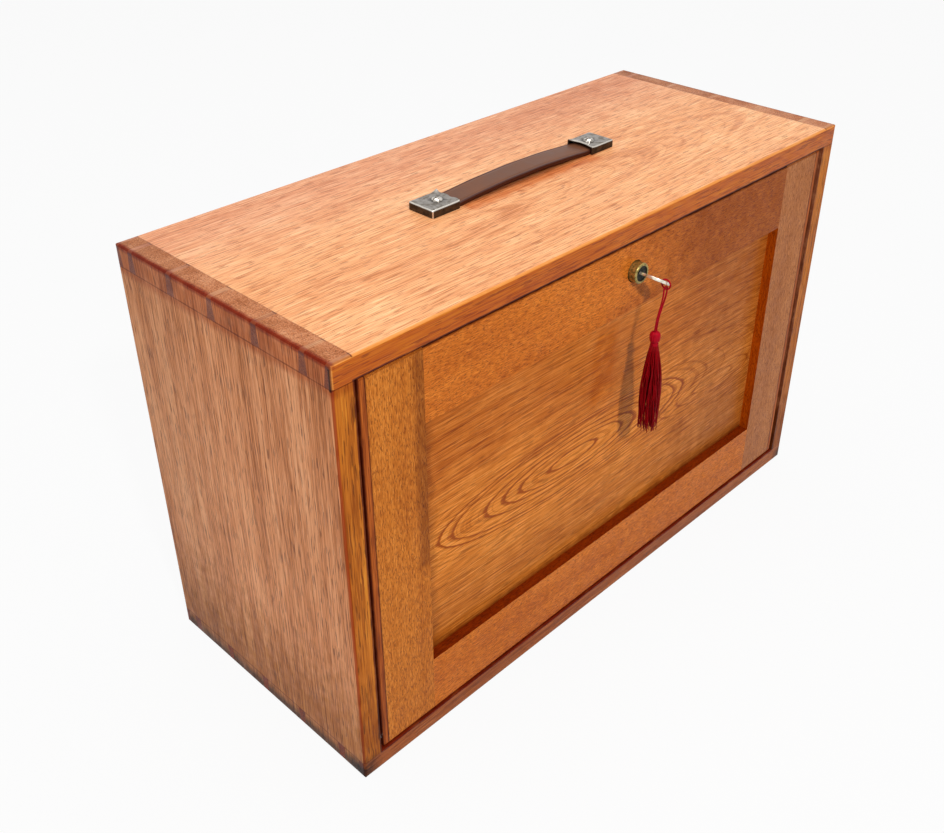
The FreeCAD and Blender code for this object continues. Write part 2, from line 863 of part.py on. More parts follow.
def handle_screw(x):
    """A raised wood screw with a slot across its head."""
    seat = case_height + cap_height
    head = Part.makeCone(
        handle_screw_head_radius, handle_screw_crown_radius, handle_screw_dome, Vec(x, handle_y, seat)
    )
    slot = block(
        x - handle_screw_head_radius,
        x + handle_screw_head_radius,
        handle_y - handle_screw_slot / 2,
        handle_y + handle_screw_slot / 2,
        seat + handle_screw_dome / 2,
        seat + handle_screw_dome,
    )
    shank_low = case_height - handle_screw_bite
    shank = Part.makeCylinder(handle_screw_radius, seat - shank_low, Vec(x, handle_y, shank_low))
    return head.cut(slot).fuse(shank)


export("handle_strap", strap)
export("handle_cap_left", handle_cap(-1))
export("handle_cap_right", handle_cap(1))
export("handle_screws", *[handle_screw(x) for x in handle_screw_places])
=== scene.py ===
# %% [markdown]
# # An engineers' tool chest in Blender
# The chest is a dovetailed oak case with a panelled front that falls forward, a leather handle and
# a cam lock with a tasselled key. Its boards come from the CAD model and only get their wood here.
# The strap, the caps, the key and the tassel are modelled again, because their real forms are soft,
# worn or rounded in ways that a plain solid doesn't show.

import math
import random

import bpy
import bmesh
from mathutils import Matrix, Vector


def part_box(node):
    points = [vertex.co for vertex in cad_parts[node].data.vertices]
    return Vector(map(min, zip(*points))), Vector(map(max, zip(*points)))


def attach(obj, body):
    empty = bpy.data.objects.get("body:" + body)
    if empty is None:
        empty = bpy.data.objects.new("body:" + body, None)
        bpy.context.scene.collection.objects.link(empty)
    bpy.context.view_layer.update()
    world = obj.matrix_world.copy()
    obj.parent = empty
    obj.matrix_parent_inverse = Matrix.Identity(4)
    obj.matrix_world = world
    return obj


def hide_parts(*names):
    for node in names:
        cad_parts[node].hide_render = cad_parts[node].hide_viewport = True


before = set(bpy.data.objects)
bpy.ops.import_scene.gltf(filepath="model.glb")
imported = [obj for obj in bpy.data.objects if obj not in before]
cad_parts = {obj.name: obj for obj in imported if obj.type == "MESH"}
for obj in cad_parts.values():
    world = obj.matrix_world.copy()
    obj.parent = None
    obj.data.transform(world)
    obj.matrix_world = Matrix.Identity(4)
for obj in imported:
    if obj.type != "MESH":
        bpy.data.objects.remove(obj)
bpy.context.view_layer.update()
MM = 0.001

# %% [markdown]
# The camera stands above the chest's front left corner and looks down at it. Its place, turn and
# lens were solved from the corners of the chest in the photograph. A small shift of the lens puts
# the chest where it is in the frame.

# %% Camera
CAMERA_PLACE = Vector((-541.33, -494.37, 611.39)) * MM
camera_data = bpy.data.cameras.new("camera")
camera_data.lens = 42.093
camera_data.sensor_width = 36.0
camera_data.shift_x = -0.00541
camera_data.shift_y = -0.0341
camera = bpy.data.objects.new("camera", camera_data)
bpy.context.scene.collection.objects.link(camera)
turn = Matrix.Rotation(math.radians(-45.35), 4, "Z")
tilt = Matrix.Rotation(math.radians(57.657), 4, "X")
roll = Matrix.Rotation(math.radians(-0.223), 4, "Z")
camera.matrix_world = Matrix.Translation(CAMERA_PLACE) @ turn @ tilt @ roll
bpy.context.scene.camera = camera
bpy.context.scene.view_settings.view_transform = "Standard"

# %% [markdown]
# Every finish is built from nodes. Colours are written as on a paint chart, in sRGB hex, and turned
# to the linear values that Blender's sockets take. One small function adds a node, sets its
# properties and fills its sockets with values or links.


# %% Helpers for materials
def colour(code):
    """An sRGB hex colour as linear red, green, blue and alpha."""
    parts = [int(code[i : i + 2], 16) / 255 for i in (1, 3, 5)]
    linear = [p / 12.92 if p <= 0.04045 else ((p + 0.055) / 1.055) ** 2.4 for p in parts]
    return (*linear, 1.0)


def add_node(material, kind, sockets=None, stops=None, **settings):
    """Adds one node with its settings. sockets gives each input a value or another node's output."""
    made = material.node_tree.nodes.new(kind)
    for name, value in settings.items():
        setattr(made, name, value)
    for name, value in (sockets or {}).items():
        if isinstance(value, bpy.types.NodeSocket):
            material.node_tree.links.new(value, made.inputs[name])
        else:
            made.inputs[name].default_value = value
    if stops:
        elements = made.color_ramp.elements
        while len(elements) < len(stops):
            elements.new(0.5)
        for element, (position, code) in zip(elements, stops):
            element.position = position
            element.color = colour(code)
    return made


def new_material(name):
    """An empty node material."""
    material = bpy.data.materials.new(name)
    material.use_nodes = True
    material.node_tree.nodes.clear()
    return material


def close_material(material, surface):
    """Wires a shader to the material's output."""
    output = add_node(material, "ShaderNodeOutputMaterial")
    material.node_tree.links.new(surface.outputs[0], output.inputs["Surface"])
    return material


def give(piece, material):
    """Puts one material on a whole piece or CAD node."""
    piece.data.materials.clear()
    piece.data.materials.append(material)


# %% [markdown]
# The tassel hangs from the key by one doubled silk cord. The cord's route is the CAD route, as the
# control points of a smooth NURBS line. The route is read back as points, and three fine plies are
# laid round it, because a silk cord is laid up from plies and shows their slant close up.

# %% The tassel cord
CORD_DIAMETER = 1.3 * MM
CORD_ROUTE = [
    (-1.45, -128.0, 246.2),
    (-1.05, -128.2, 254.2),
    (0.9, -129.0, 263.2),
    (1.9, -130.0, 272.2),
    (1.6, -130.0, 278.8),
    (5.4, -130.0, 278.8),
    (5.1, -130.0, 272.2),
    (2.8, -129.0, 263.2),
    (0.75, -128.2, 254.2),
    (0.45, -128.0, 246.2),
]


def nurbs_route(name, points, closed=False):
    """The points, in metres, along a smooth line that has the given millimetre points as controls."""
    line = bpy.data.curves.new(name, "CURVE")
    line.dimensions = "3D"
    line.resolution_u = 12
    spline = line.splines.new("NURBS")
    spline.points.add(len(points) - 1)
    for control, point in zip(spline.points, points):
        control.co = (*(Vector(point) * MM), 1.0)
    spline.order_u = 3
    spline.use_endpoint_u = not closed
    spline.use_cyclic_u = closed
    holder = bpy.data.objects.new(name, line)
    bpy.context.scene.collection.objects.link(holder)
    bpy.context.view_layer.update()
    mesh = bpy.data.meshes.new_from_object(holder)
    route = [vertex.co.copy() for vertex in mesh.vertices]
    bpy.data.objects.remove(holder)
    bpy.data.meshes.remove(mesh)
    return route


def even_steps(route, step, closed=False):
    """The route walked in equal steps, so that a twist round it is regular."""
    points = route + route[:1] if closed else route
    total = sum((b - a).length for a, b in zip(points, points[1:]))
    count = max(8, round(total / step))
    walked = []
    travelled = 0.0
    wanted = 0.0
    for a, b in zip(points, points[1:]):
        span = (b - a).length
        while wanted <= travelled + span + 1e-9 and len(walked) <= count:
            walked.append(a.lerp(b, (wanted - travelled) / span if span else 0.0))
            wanted += total / count
        travelled += span
    return walked[:-1] if closed else walked


def laid_cord(name, route, diameter, lay, closed=False):
    """Three plies twisted round a route, joined into one mesh; lay is the length of one full turn."""
    ply_radius = diameter / 2 / 2.1547
    centre_radius = diameter / 2 - ply_radius
    steps = even_steps(route, lay / 8, closed)
    count = len(steps)
    turns = max(1, round(count / 8))
    sections = []
    side = None
    for i, point in enumerate(steps):
        after = steps[(i + 1) % count] if closed or i + 1 < count else point
        before = steps[i - 1] if closed or i else point
        ahead = (after - before).normalized()
        if side is None:
            side = ahead.orthogonal().normalized()
        side = (side - ahead * side.dot(ahead)).normalized()
        sections.append((point, side, ahead.cross(side)))
    plies = []
    for ply in range(3):
        strand = bpy.data.curves.new(name, "CURVE")
        strand.dimensions = "3D"
        strand.bevel_depth = ply_radius
        strand.bevel_resolution = 1
        strand.use_fill_caps = True
        spline = strand.splines.new("POLY")
        spline.points.add(count - 1)
        spline.use_cyclic_u = closed
        for i, (point, side, up) in enumerate(sections):
            angle = 2 * math.pi * (turns * i / count + ply / 3)
            place = point + (side * math.cos(angle) + up * math.sin(angle)) * centre_radius
            spline.points[i].co = (*place, 1.0)
        holder = bpy.data.objects.new(name, strand)
        bpy.context.scene.collection.objects.link(holder)
        plies.append(holder)
    bpy.ops.object.select_all(action="DESELECT")
    for holder in plies:
        holder.select_set(True)
    bpy.context.view_layer.objects.active = plies[0]
    bpy.ops.object.convert(target="MESH")
    bpy.ops.object.join()
    piece = bpy.context.object
    piece.name = name
    bpy.ops.object.shade_smooth()
    return piece


cord_line = nurbs_route("cord_line", CORD_ROUTE)
silk_cord = laid_cord("silk_cord", cord_line, CORD_DIAMETER, 3.2 * MM)
print("cord line", round(sum((b - a).length for a, b in zip(cord_line, cord_line[1:])) / MM, 1), "mm")

# %% [markdown]
# Where the cord meets the key, it is hitched round the rim of the bow. The hitch is a tight ring of
# the same cord through the key's hole, so it is laid up in the same way on a closed round line.

# %% The hitch on the key
HITCH_CENTRE = Vector((3.5, -130.0, 280.6))
HITCH_RADIUS = 3.4
hitch_points = []
for number in range(12):
    angle = 2 * math.pi * number / 12
    around = Vector((0, math.cos(angle), math.sin(angle)))
    hitch_points.append(HITCH_CENTRE + around * HITCH_RADIUS * 1.03)
hitch_line = nurbs_route("hitch_line", hitch_points, closed=True)
cord_hitch = laid_cord("silk_hitch", hitch_line, CORD_DIAMETER, 3.2 * MM, closed=True)

# %% [markdown]
# The studio is a white floor under soft light. One lamp stands high to the front left. It throws the
# shadows of the lock and the tassel back, down and to the right on the front. A broad lamp overhead
# makes the top the brightest face, a weak one on the left opens the shaded side, and the world
# fills the rest. The camera and reflections see floor and world as white, and the floor keeps
# the chest's shadow.

# %% Floor, world and lamps
bpy.ops.object.select_all(action="DESELECT")
bpy.ops.mesh.primitive_plane_add(size=12.0, location=(0, 0, 0))
floor = bpy.context.object
floor.name = "floor"


def seen_directly(owner, share):
    """A socket that is share for camera, glossy and transmission rays, and 0 for the rest."""
    ray = add_node(owner, "ShaderNodeLightPath")
    mirrored = add_node(
        owner,
        "ShaderNodeMath",
        {0: ray.outputs["Is Glossy Ray"], 1: ray.outputs["Is Transmission Ray"]},
        operation="ADD",
    )
    seen = add_node(
        owner,
        "ShaderNodeMath",
        {0: mirrored.outputs[0], 1: ray.outputs["Is Camera Ray"]},
        operation="ADD",
        use_clamp=True,
    )
    return add_node(owner, "ShaderNodeMath", {0: seen.outputs[0], 1: share}, operation="MULTIPLY").outputs[0]


floor_paper = new_material("white_paper_floor")
paper = add_node(floor_paper, "ShaderNodeBsdfDiffuse", {"Color": colour("#c6c6c6")})
glow = add_node(floor_paper, "ShaderNodeEmission", {"Color": colour("#ffffff"), "Strength": 1.0})
floor_look = {0: seen_directly(floor_paper, 0.93), 1: paper.outputs[0], 2: glow.outputs[0]}
give(floor, close_material(floor_paper, add_node(floor_paper, "ShaderNodeMixShader", floor_look)))

studio = bpy.data.worlds.new("studio")
bpy.context.scene.world = studio
studio.use_nodes = True
studio.node_tree.nodes.clear()
fill = add_node(studio, "ShaderNodeBackground", {"Strength": 0.24})
white = add_node(studio, "ShaderNodeBackground", {"Color": colour("#ffffff"), "Strength": 1.0})
sky_look = {0: seen_directly(studio, 1.0), 1: fill.outputs[0], 2: white.outputs[0]}
sky = add_node(studio, "ShaderNodeMixShader", sky_look)
add_node(studio, "ShaderNodeOutputWorld", {"Surface": sky.outputs[0]})


def soft_lamp(name, place, target, size, power):
    """A square area lamp that looks at a point; metres and watts."""
    light = bpy.data.lights.new(name, "AREA")
    light.shape = "SQUARE"
    light.size = size
    light.energy = power
    lamp = bpy.data.objects.new(name, light)
    bpy.context.scene.collection.objects.link(lamp)
    lamp.location = place
    lamp.rotation_euler = (Vector(target) - Vector(place)).to_track_quat("-Z", "Y").to_euler()
    return lamp


soft_lamp("key_lamp", (-0.80, -1.55, 1.60), (0, -0.1, 0.2), 0.13, 29)
soft_lamp("ceiling_lamp", (0.10, 0.10, 2.60), (0, 0, 0), 2.2, 42)
soft_lamp("side_lamp", (-2.20, 0.30, 1.00), (-0.25, 0, 0.16), 1.2, 6)

# %% [markdown]
# Oak is drawn as a solid, so that each cut through it shows what a real cut shows. Growth rings
# are long closed shells, and a face that cuts them near their crown shows nested arches. Each has a
# sharp dark edge and fades. Fibres make light and dark streaks along the board, and the pores are
# short dark dashes, drawn about twice as wide as real ones so that they show.


# %% Oak: the pattern of the board
def shells_round(wood, board, wobble, heart, stretch):
    """Distance in metres from a long ring shell's heart, with a little waviness."""
    centre = Vector(heart) * MM
    centre.x *= stretch
    shell_map = add_node(
        wood,
        "ShaderNodeMapping",
        {"Vector": board.outputs[0], "Location": -centre, "Scale": (stretch, 1, 1)},
    )
    radius = add_node(wood, "ShaderNodeVectorMath", {0: shell_map.outputs[0]}, operation="LENGTH")
    wavy = add_node(
        wood,
        "ShaderNodeMath",
        {0: wobble.outputs[0], 1: 1.7 * MM, 2: radius.outputs["Value"]},
        operation="MULTIPLY_ADD",
    )
    return wavy.outputs[0]


def streaks(wood, board, along, across, detail):
    """Noise that is drawn out along the grain; along and across are sizes in mm."""
    scale = (1 / (along * MM), 1 / (across * MM), 1 / (across * MM))
    drawn_out = add_node(wood, "ShaderNodeMapping", {"Vector": board.outputs[0], "Scale": scale})
    return add_node(
        wood,
        "ShaderNodeTexNoise",
        {"Vector": drawn_out.outputs[0], "Scale": 1.0, "Detail": detail, "Roughness": 0.6},
    )


def oak_pattern(wood, place, look):
    """Nodes for one board's figure; returns its tone and its pores as sockets from 0 to 1."""
    turn_to_x = {"X": (0, 0, 0), "Y": (0, 0, -math.pi / 2), "Z": (0, math.pi / 2, 0)}[look["grain"]]
    board = add_node(
        wood,
        "ShaderNodeMapping",
        {"Vector": place.outputs["Object"], "Rotation": turn_to_x, "Location": Vector(look["shift"]) * MM},
    )
    wobble = streaks(wood, board, 40, 14, 4.0)
    radius = shells_round(wood, board, wobble, look["heart"], look["stretch"])
    rings = add_node(
        wood,
        "ShaderNodeTexNoise",
        {"W": radius, "Scale": 1 / (look["ring_gap"] * MM), "Detail": 1.0},
        noise_dimensions="1D",
    )
    ring_lines = add_node(
        wood,
        "ShaderNodeValToRGB",
        {"Fac": rings.outputs[0]},
        stops=[(0.48, "#000000"), (0.5, "#ffffff"), (0.54, "#606060"), (0.6, "#000000")],
    )
    fibres = streaks(wood, board, look["fibre_length"], 0.8, 1.0)
    bands = streaks(wood, board, 330, 28, 3.0)
    patches = streaks(wood, board, 70, 70, 3.0)
    pore_noise = streaks(wood, board, look["pore_length"], look["pore_width"], 1.0)
    pores = add_node(
        wood, "ShaderNodeMapRange", {"Value": pore_noise.outputs[0], "From Min": 0.59, "From Max": 0.63}
    )
    shares = [
        (ring_lines.outputs[0], -look["ring_share"]),
        (fibres.outputs[0], look["fibre_share"]),
        (bands.outputs[0], look["band_share"]),
        (patches.outputs[0], look["patch_share"]),
    ]
    for heart, share, radii in look["figures"]:
        spacing = 40.0
        figure_radius = shells_round(wood, board, wobble, heart, look["stretch"])
        place_on_ramp = add_node(
            wood, "ShaderNodeMath", {0: figure_radius, 1: spacing * MM}, operation="DIVIDE"
        )
        stops = []
        for ring in radii:
            stops += [(ring - 0.2, "#000000"), (ring, "#ffffff"), (ring + 0.9, "#000000")]
        drawn = add_node(
            wood,
            "ShaderNodeValToRGB",
            {"Fac": place_on_ramp.outputs[0]},
            stops=[(position / spacing, code) for position, code in stops],
        )
        shares.append((drawn.outputs[0], -share))
    tone = 0.5 + look["ring_share"] * 0.2
    tone -= (look["fibre_share"] + look["band_share"] + look["patch_share"]) / 2
    for source, share in shares:
        tone = add_node(
            wood, "ShaderNodeMath", {0: source, 1: share, 2: tone}, operation="MULTIPLY_ADD"
        ).outputs[0]
    return tone, pores.outputs[0]


# %% [markdown]
# Some marks were left by time: varnish that has gathered on an arris, and the lines that a marking
# gauge scratched for the dovetails. Others are painted shade, a painted shadow and a painted
# reflection, and some only make the wood darker towards the foot or the back. Each mark is a box in
# the chest's own millimetres with a ragged, soft border, and it only tints the wood. Faces that look
# along one axis can take a tint too: end grain drinks in more varnish, and some faces are tinted
# darker as painted shade. Rounded edges take a colour of their own; on the top it is a painted
# highlight.


# %% Oak: marks on it
def tint(wood, base, mask, code):
    """Multiplies a colour by a tint where the mask says; some tints are stains, some painted shade and light."""
    stained = add_node(
        wood, "ShaderNodeMix", {0: mask, 6: base, 7: colour(code)}, data_type="RGBA", blend_type="MULTIPLY"
    )
    return stained.outputs[2]


def face_mask(wood, place, axis, share):
    """A mask for the faces that look along an axis, either way."""
    axis_vector = {"X": (1, 0, 0), "Y": (0, 1, 0), "Z": (0, 0, 1)}[axis]
    along = add_node(
        wood, "ShaderNodeVectorMath", {0: place.outputs["Normal"], 1: axis_vector}, operation="DOT_PRODUCT"
    )
    size = add_node(wood, "ShaderNodeMath", {0: along.outputs["Value"]}, operation="ABSOLUTE")
    mask = add_node(
        wood,
        "ShaderNodeMapRange",
        {"Value": size.outputs[0], "From Min": 0.75, "From Max": 0.95, "To Max": share},
    )
    return mask.outputs[0]


def edge_mask(finish, place, share):
    """A mask for rounded edges, where the surface looks along none of the three axes."""
    sides = add_node(finish, "ShaderNodeVectorMath", {0: place.outputs["Normal"]}, operation="ABSOLUTE")
    parts = add_node(finish, "ShaderNodeSeparateXYZ", {0: sides.outputs[0]})
    largest = parts.outputs[0]
    for other in parts.outputs[1:]:
        largest = add_node(
            finish, "ShaderNodeMath", {0: largest, 1: other}, operation="MAXIMUM"
        ).outputs[0]
    mask = add_node(
        finish,
        "ShaderNodeMapRange",
        {"Value": largest, "From Min": 0.99, "From Max": 0.9, "To Max": share},
    )
    return mask.outputs[0]


def box_mask(wood, place, ragged, low, high, soft, share):
    """A mask that is full inside a box, in mm, and fades raggedly within soft outside it."""
    low, high = Vector(low) * MM, Vector(high) * MM
    steps = {0: place.outputs["Object"], 1: (low + high) / 2}
    for operation, other in (
        ("SUBTRACT", None),
        ("ABSOLUTE", (high - low) / 2),
        ("SUBTRACT", (0, 0, 0)),
        ("MAXIMUM", None),
    ):
        done = add_node(wood, "ShaderNodeVectorMath", steps, operation=operation)
        steps = {0: done.outputs[0]}
        if other is not None:
            steps[1] = other
    away = add_node(wood, "ShaderNodeVectorMath", steps, operation="LENGTH")
    frayed = add_node(
        wood,
        "ShaderNodeMath",
        {0: ragged.outputs[0], 1: -1.2 * soft * MM, 2: away.outputs["Value"]},
        operation="MULTIPLY_ADD",
    )
    mask = add_node(
        wood,
        "ShaderNodeMapRange",
        {
            "Value": frayed.outputs[0],
            "From Min": -0.6 * soft * MM,
            "From Max": 0.4 * soft * MM,
            "To Min": share,
            "To Max": 0.0,
        },
    )
    return mask.outputs[0]


# %% [markdown]
# One function makes every oak finish from a table of values, so that a board only says how it
# differs. The finish is an old oil varnish, rubbed thin: oak's refractive index is about 1.5, but
# its worn surface throws back little light, so the specular level is low.

# %% Oak: the finish
PLAIN_OAK = {
    "grain": "X",
    "shift": (0, 0, 0),
    "dark": "#a04410",
    "middle": "#cf6e24",
    "light": "#ee8c3a",
    "pore": "#6e300e",
    "end": "#c09070",
    "faces": [],
    "arris": "#8a3c10",
    "arris_share": 0.5,
    "heart": (0, 60, -40),
    "stretch": 0.1,
    "ring_gap": 4.5,
    "ring_share": 0.2,
    "figures": [],
    "fibre_length": 30,
    "fibre_share": 1.8,
    "band_share": 0.8,
    "patch_share": 0.35,
    "pore_length": 13,
    "pore_width": 1.0,
    "pore_share": 0.6,
    "roughness": 0.38,
    "specular": 0.08,
    "marks": [],
}


def oak(name, **changes):
    """Varnished oak: PLAIN_OAK with this board's own changes. Lengths are in millimetres."""
    look = {**PLAIN_OAK, **changes}
    wood = new_material(name)
    place = add_node(wood, "ShaderNodeTexCoord")
    tone, pores = oak_pattern(wood, place, look)
    body = add_node(
        wood,
        "ShaderNodeValToRGB",
        {"Fac": tone},
        stops=[(0.0, look["dark"]), (0.5, look["middle"]), (1.0, look["light"])],
    )
    pore_weight = add_node(wood, "ShaderNodeMath", {0: pores, 1: look["pore_share"]}, operation="MULTIPLY")
    pored = add_node(
        wood,
        "ShaderNodeMix",
        {0: pore_weight.outputs[0], 6: body.outputs[0], 7: colour(look["pore"])},
        data_type="RGBA",
    )
    finish = pored.outputs[2]
    for axis, tint_colour in [(look["grain"], look["end"])] + look["faces"]:
        finish = tint(wood, finish, face_mask(wood, place, axis, 1.0), tint_colour)
    arris_mask = edge_mask(wood, place, look["arris_share"])
    edge_toned = add_node(
        wood,
        "ShaderNodeMix",
        {0: arris_mask, 6: finish, 7: colour(look["arris"])},
        data_type="RGBA",
    )
    finish = edge_toned.outputs[2]
    ragged = add_node(
        wood, "ShaderNodeTexNoise", {"Vector": place.outputs["Object"], "Scale": 110.0, "Detail": 5.0}
    )
    for low, high, soft, share, tint_colour in look["marks"]:
        finish = tint(wood, finish, box_mask(wood, place, ragged, low, high, soft, share), tint_colour)
    relief = add_node(wood, "ShaderNodeMath", {0: tone, 1: pores}, operation="SUBTRACT")
    bump = add_node(
        wood, "ShaderNodeBump", {"Height": relief.outputs[0], "Strength": 0.3, "Distance": 0.12 * MM}
    )
    gloss = add_node(
        wood,
        "ShaderNodeMapRange",
        {
            "Value": ragged.outputs[0],
            "From Min": 0.3,
            "From Max": 0.7,
            "To Min": look["roughness"] - 0.06,
            "To Max": look["roughness"] + 0.08,
        },
    )
    shader = add_node(
        wood,
        "ShaderNodeBsdfPrincipled",
        {
            "Base Color": finish,
            "Roughness": gloss.outputs[0],
            "Normal": bump.outputs[0],
            "IOR": 1.5,
            "Specular IOR Level": look["specular"],
        },
    )
    return close_material(wood, shader)


# %% [markdown]
# The case boards are one oak, sawn from different places in the tree. The top is bleached paler
# than the sides. A gauge line runs across each side at the foot of its dovetails, and dark glue shows
# where the top meets the sides. The case is darker towards its foot, and its top and sides are a
# little darker towards the back. The strap's shadow is painted on the top, and the dark lines in the
# gaps round the fall front are painted shade.

# %% Oak for the case
GAUGE_LINES = [
    ((-270, -110, 304.7), (270, 110, 304.9), 0.6, 0.75, "#8a5a3c"),
    ((-270, -110, 13.8), (270, 110, 14.0), 0.6, 0.75, "#8a5a3c"),
]
GLUE_LINES = [
    ((-239.4, -104.9, 300), (-239.0, 110, 330), 0.5, 0.85, "#7c4a30"),
    ((239.0, -104.9, 300), (239.4, 110, 330), 0.5, 0.85, "#7c4a30"),
]
TOP_ARRIS = [
    ((-256, -104.5, 317.8), (-252.0, 110, 322), 1.6, 0.8, "#b4581a"),
    ((252.4, -104.5, 318.4), (256, 110, 322), 1.6, 0.7, "#b4581a"),
    ((-255, -104.2, 304), (-253.6, -103.8, 317), 0.9, 0.9, "#3a1a10"),
]
# The foot is darker towards the bottom, most in a thin band at the floor and at the front corners.
FOOT_DARKENING = [
    ((-270, -120, -10), (270, 120, 30), 70, 1.0, "#d0c195"),
    ((-270, -120, -10), (270, 120, 5), 8, 0.85, "#4c3824"),
    ((-260, -112, -5), (-250, -98, 7), 12, 0.9, "#2c1c18"),
    ((250, -112, -5), (260, -98, 5), 9, 0.9, "#2c1c18"),
]
# Painted shade: dark lines on the faces that bound the gaps round the fall front. The last two are dark joint
# lines between the stiles and the lippings.
GAP_SHADE_AND_JOINT_LINES = [
    ((-240, -106.5, 304.6), (240, -101.5, 305.4), 0.7, 0.9, "#581a0a"),
    ((-239.8, -106.5, 14), (-238.8, -101.5, 305), 0.6, 0.9, "#6a2010"),
    ((238.8, -106.5, 14), (239.6, -101.5, 305), 0.5, 0.8, "#6a2010"),
    ((-236.8, -106.5, 14), (-235.8, -101.5, 303), 0.5, 0.9, "#6a2010"),
    ((236.0, -106.5, 14), (236.8, -101.5, 303), 0.4, 0.8, "#6a2010"),
    ((-236, -106.5, 302.8), (236, -101.5, 304), 0.6, 0.9, "#581a0a"),
    ((-239, -106.5, 13.4), (239, -101.5, 15.0), 0.7, 0.9, "#a02c14"),
    ((-231.6, -106, 14), (-231.2, -103, 303), 0.5, 0.8, "#6a240c"),
    ((231.2, -106, 14), (231.6, -103, 303), 0.5, 0.8, "#6a240c"),
]
top_oak = oak(
    "varnished_oak_top",
    dark="#bc6e3a",
    middle="#e8a06a",
    light="#fccb95",
    pore="#9a5226",
    faces=[("Y", "#d39722")],
    specular=0.2,
    # Painted highlight: the top's rounded edges take a bright orange for the bright line along its front.
    arris="#dd8a38",
    arris_share=0.8,
    heart=(-120, -35, 296),
    stretch=0.14,
    marks=[
        ((-270, -104.9, 300), (-239.2, 120, 330), 0.3, 0.95, "#bcaca8"),
        ((239.2, -104.9, 300), (270, 120, 330), 0.3, 0.95, "#cac0bc"),
        ((-270, 80, 300), (270, 120, 330), 80, 1.0, "#f0e6f4"),
        # Painted shadow of the strap on the top, along its front side.
        ((-60, -16, 319), (66, -6, 321), 7, 0.7, "#d99a5c"),
    ]
    + GLUE_LINES
    + TOP_ARRIS
    + GAP_SHADE_AND_JOINT_LINES[:1],
)
side_oak = oak(
    "varnished_oak_side",
    grain="Z",
    dark="#a8602e",
    middle="#dd8f5c",
    light="#fab482",
    pore="#6c3a20",
    pore_share=0.65,
    pore_length=16,
    end="#d8d8dc",
    faces=[("Y", "#e3c760")],
    arris="#963404",
    arris_share=0.85,
    heart=(160, -20, 222),
    stretch=0.08,
    band_share=1.7,
    marks=[
        ((-270, -104, 303), (270, 120, 317), 5, 0.8, "#d5aa85"),
        ((-270, 70, 0), (270, 120, 330), 60, 1.0, "#eeece8"),
    ]
    + GAUGE_LINES
    + TOP_ARRIS
    + FOOT_DARKENING
    + GAP_SHADE_AND_JOINT_LINES[1:3],
)
bottom_oak = oak(
    "varnished_oak_bottom",
    dark="#7c3c18",
    middle="#a5582a",
    light="#c07038",
    shift=(120, 300, 0),
    marks=FOOT_DARKENING[2:] + GAP_SHADE_AND_JOINT_LINES[6:7],
)
back_oak = oak("varnished_oak_back", shift=(400, 120, 60), heart=(120, 100, 60))
for node, finish in (
    ("case_top", top_oak),
    ("case_left_side", side_oak),
    ("case_right_side", side_oak),
    ("case_bottom", bottom_oak),
    ("case_back", back_oak),
):
    give(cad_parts[node], finish)

# %% [markdown]
# The front's stiles and rails were cut across the rays, so they are flecked all over with short
# dashes. The panel is a plain-sawn board. It cuts two crowns of the ring shells, and the radii
# below are those of the rings that show best. The panel is a little darker towards its top, bottom
# and right, with a darker line along its bottom edge, and the rails are darker towards the right.
# Painted shade darkens the panel's left edge and the inner edge of the left stile, and tints the
# faces of the rails that look up or down and the sides of the right stile. A painted reflection
# makes an orange glow on the panel beside the tassel, and the dark lines in the gaps round the
# front are painted shade.

# %% Oak for the front
FLECKED = {
    "pore_length": 2.6,
    "pore_width": 0.7,
    "pore_share": 0.6,
    "ring_share": 0.1,
    "fibre_length": 6,
    "fibre_share": 1.4,
}
stile_oak = oak(
    "varnished_oak_left_stile",
    grain="Z",
    dark="#94440e",
    middle="#c97324",
    light="#ea943e",
    shift=(90, 210, 0),
    # Painted shade on the left stile's inner edge, beside the panel.
    marks=[((-194, -110, 150), (-189, -100, 300), 6, 0.6, "#9c8268")] + GAP_SHADE_AND_JOINT_LINES[7:8],
    **FLECKED,
)
far_stile_oak = oak(
    "varnished_oak_right_stile",
    grain="Z",
    dark="#88461e",
    middle="#b26c3a",
    light="#cf8850",
    shift=(-40, 170, 60),
    # Painted shade: the sides of the right stile, its inner edge by the panel among them, are tinted darker and
    # redder.
    faces=[("X", "#eca621")],
    marks=GAP_SHADE_AND_JOINT_LINES[8:9],
    **FLECKED,
)
rail_oak = oak(
    "varnished_oak_rail",
    dark="#9a420c",
    middle="#cd6e20",
    light="#ee8e34",
    shift=(210, -90, 30),
    # Painted shade: the faces of the rails that look up or down, the reveals round the panel among them, are
    # tinted darker.
    faces=[("Z", "#946020")],
    marks=[
        ((90, -120, 200), (240, -90, 320), 100, 1.0, "#c7b993"),
    ]
    + GAP_SHADE_AND_JOINT_LINES[5:7],
    **FLECKED,
)
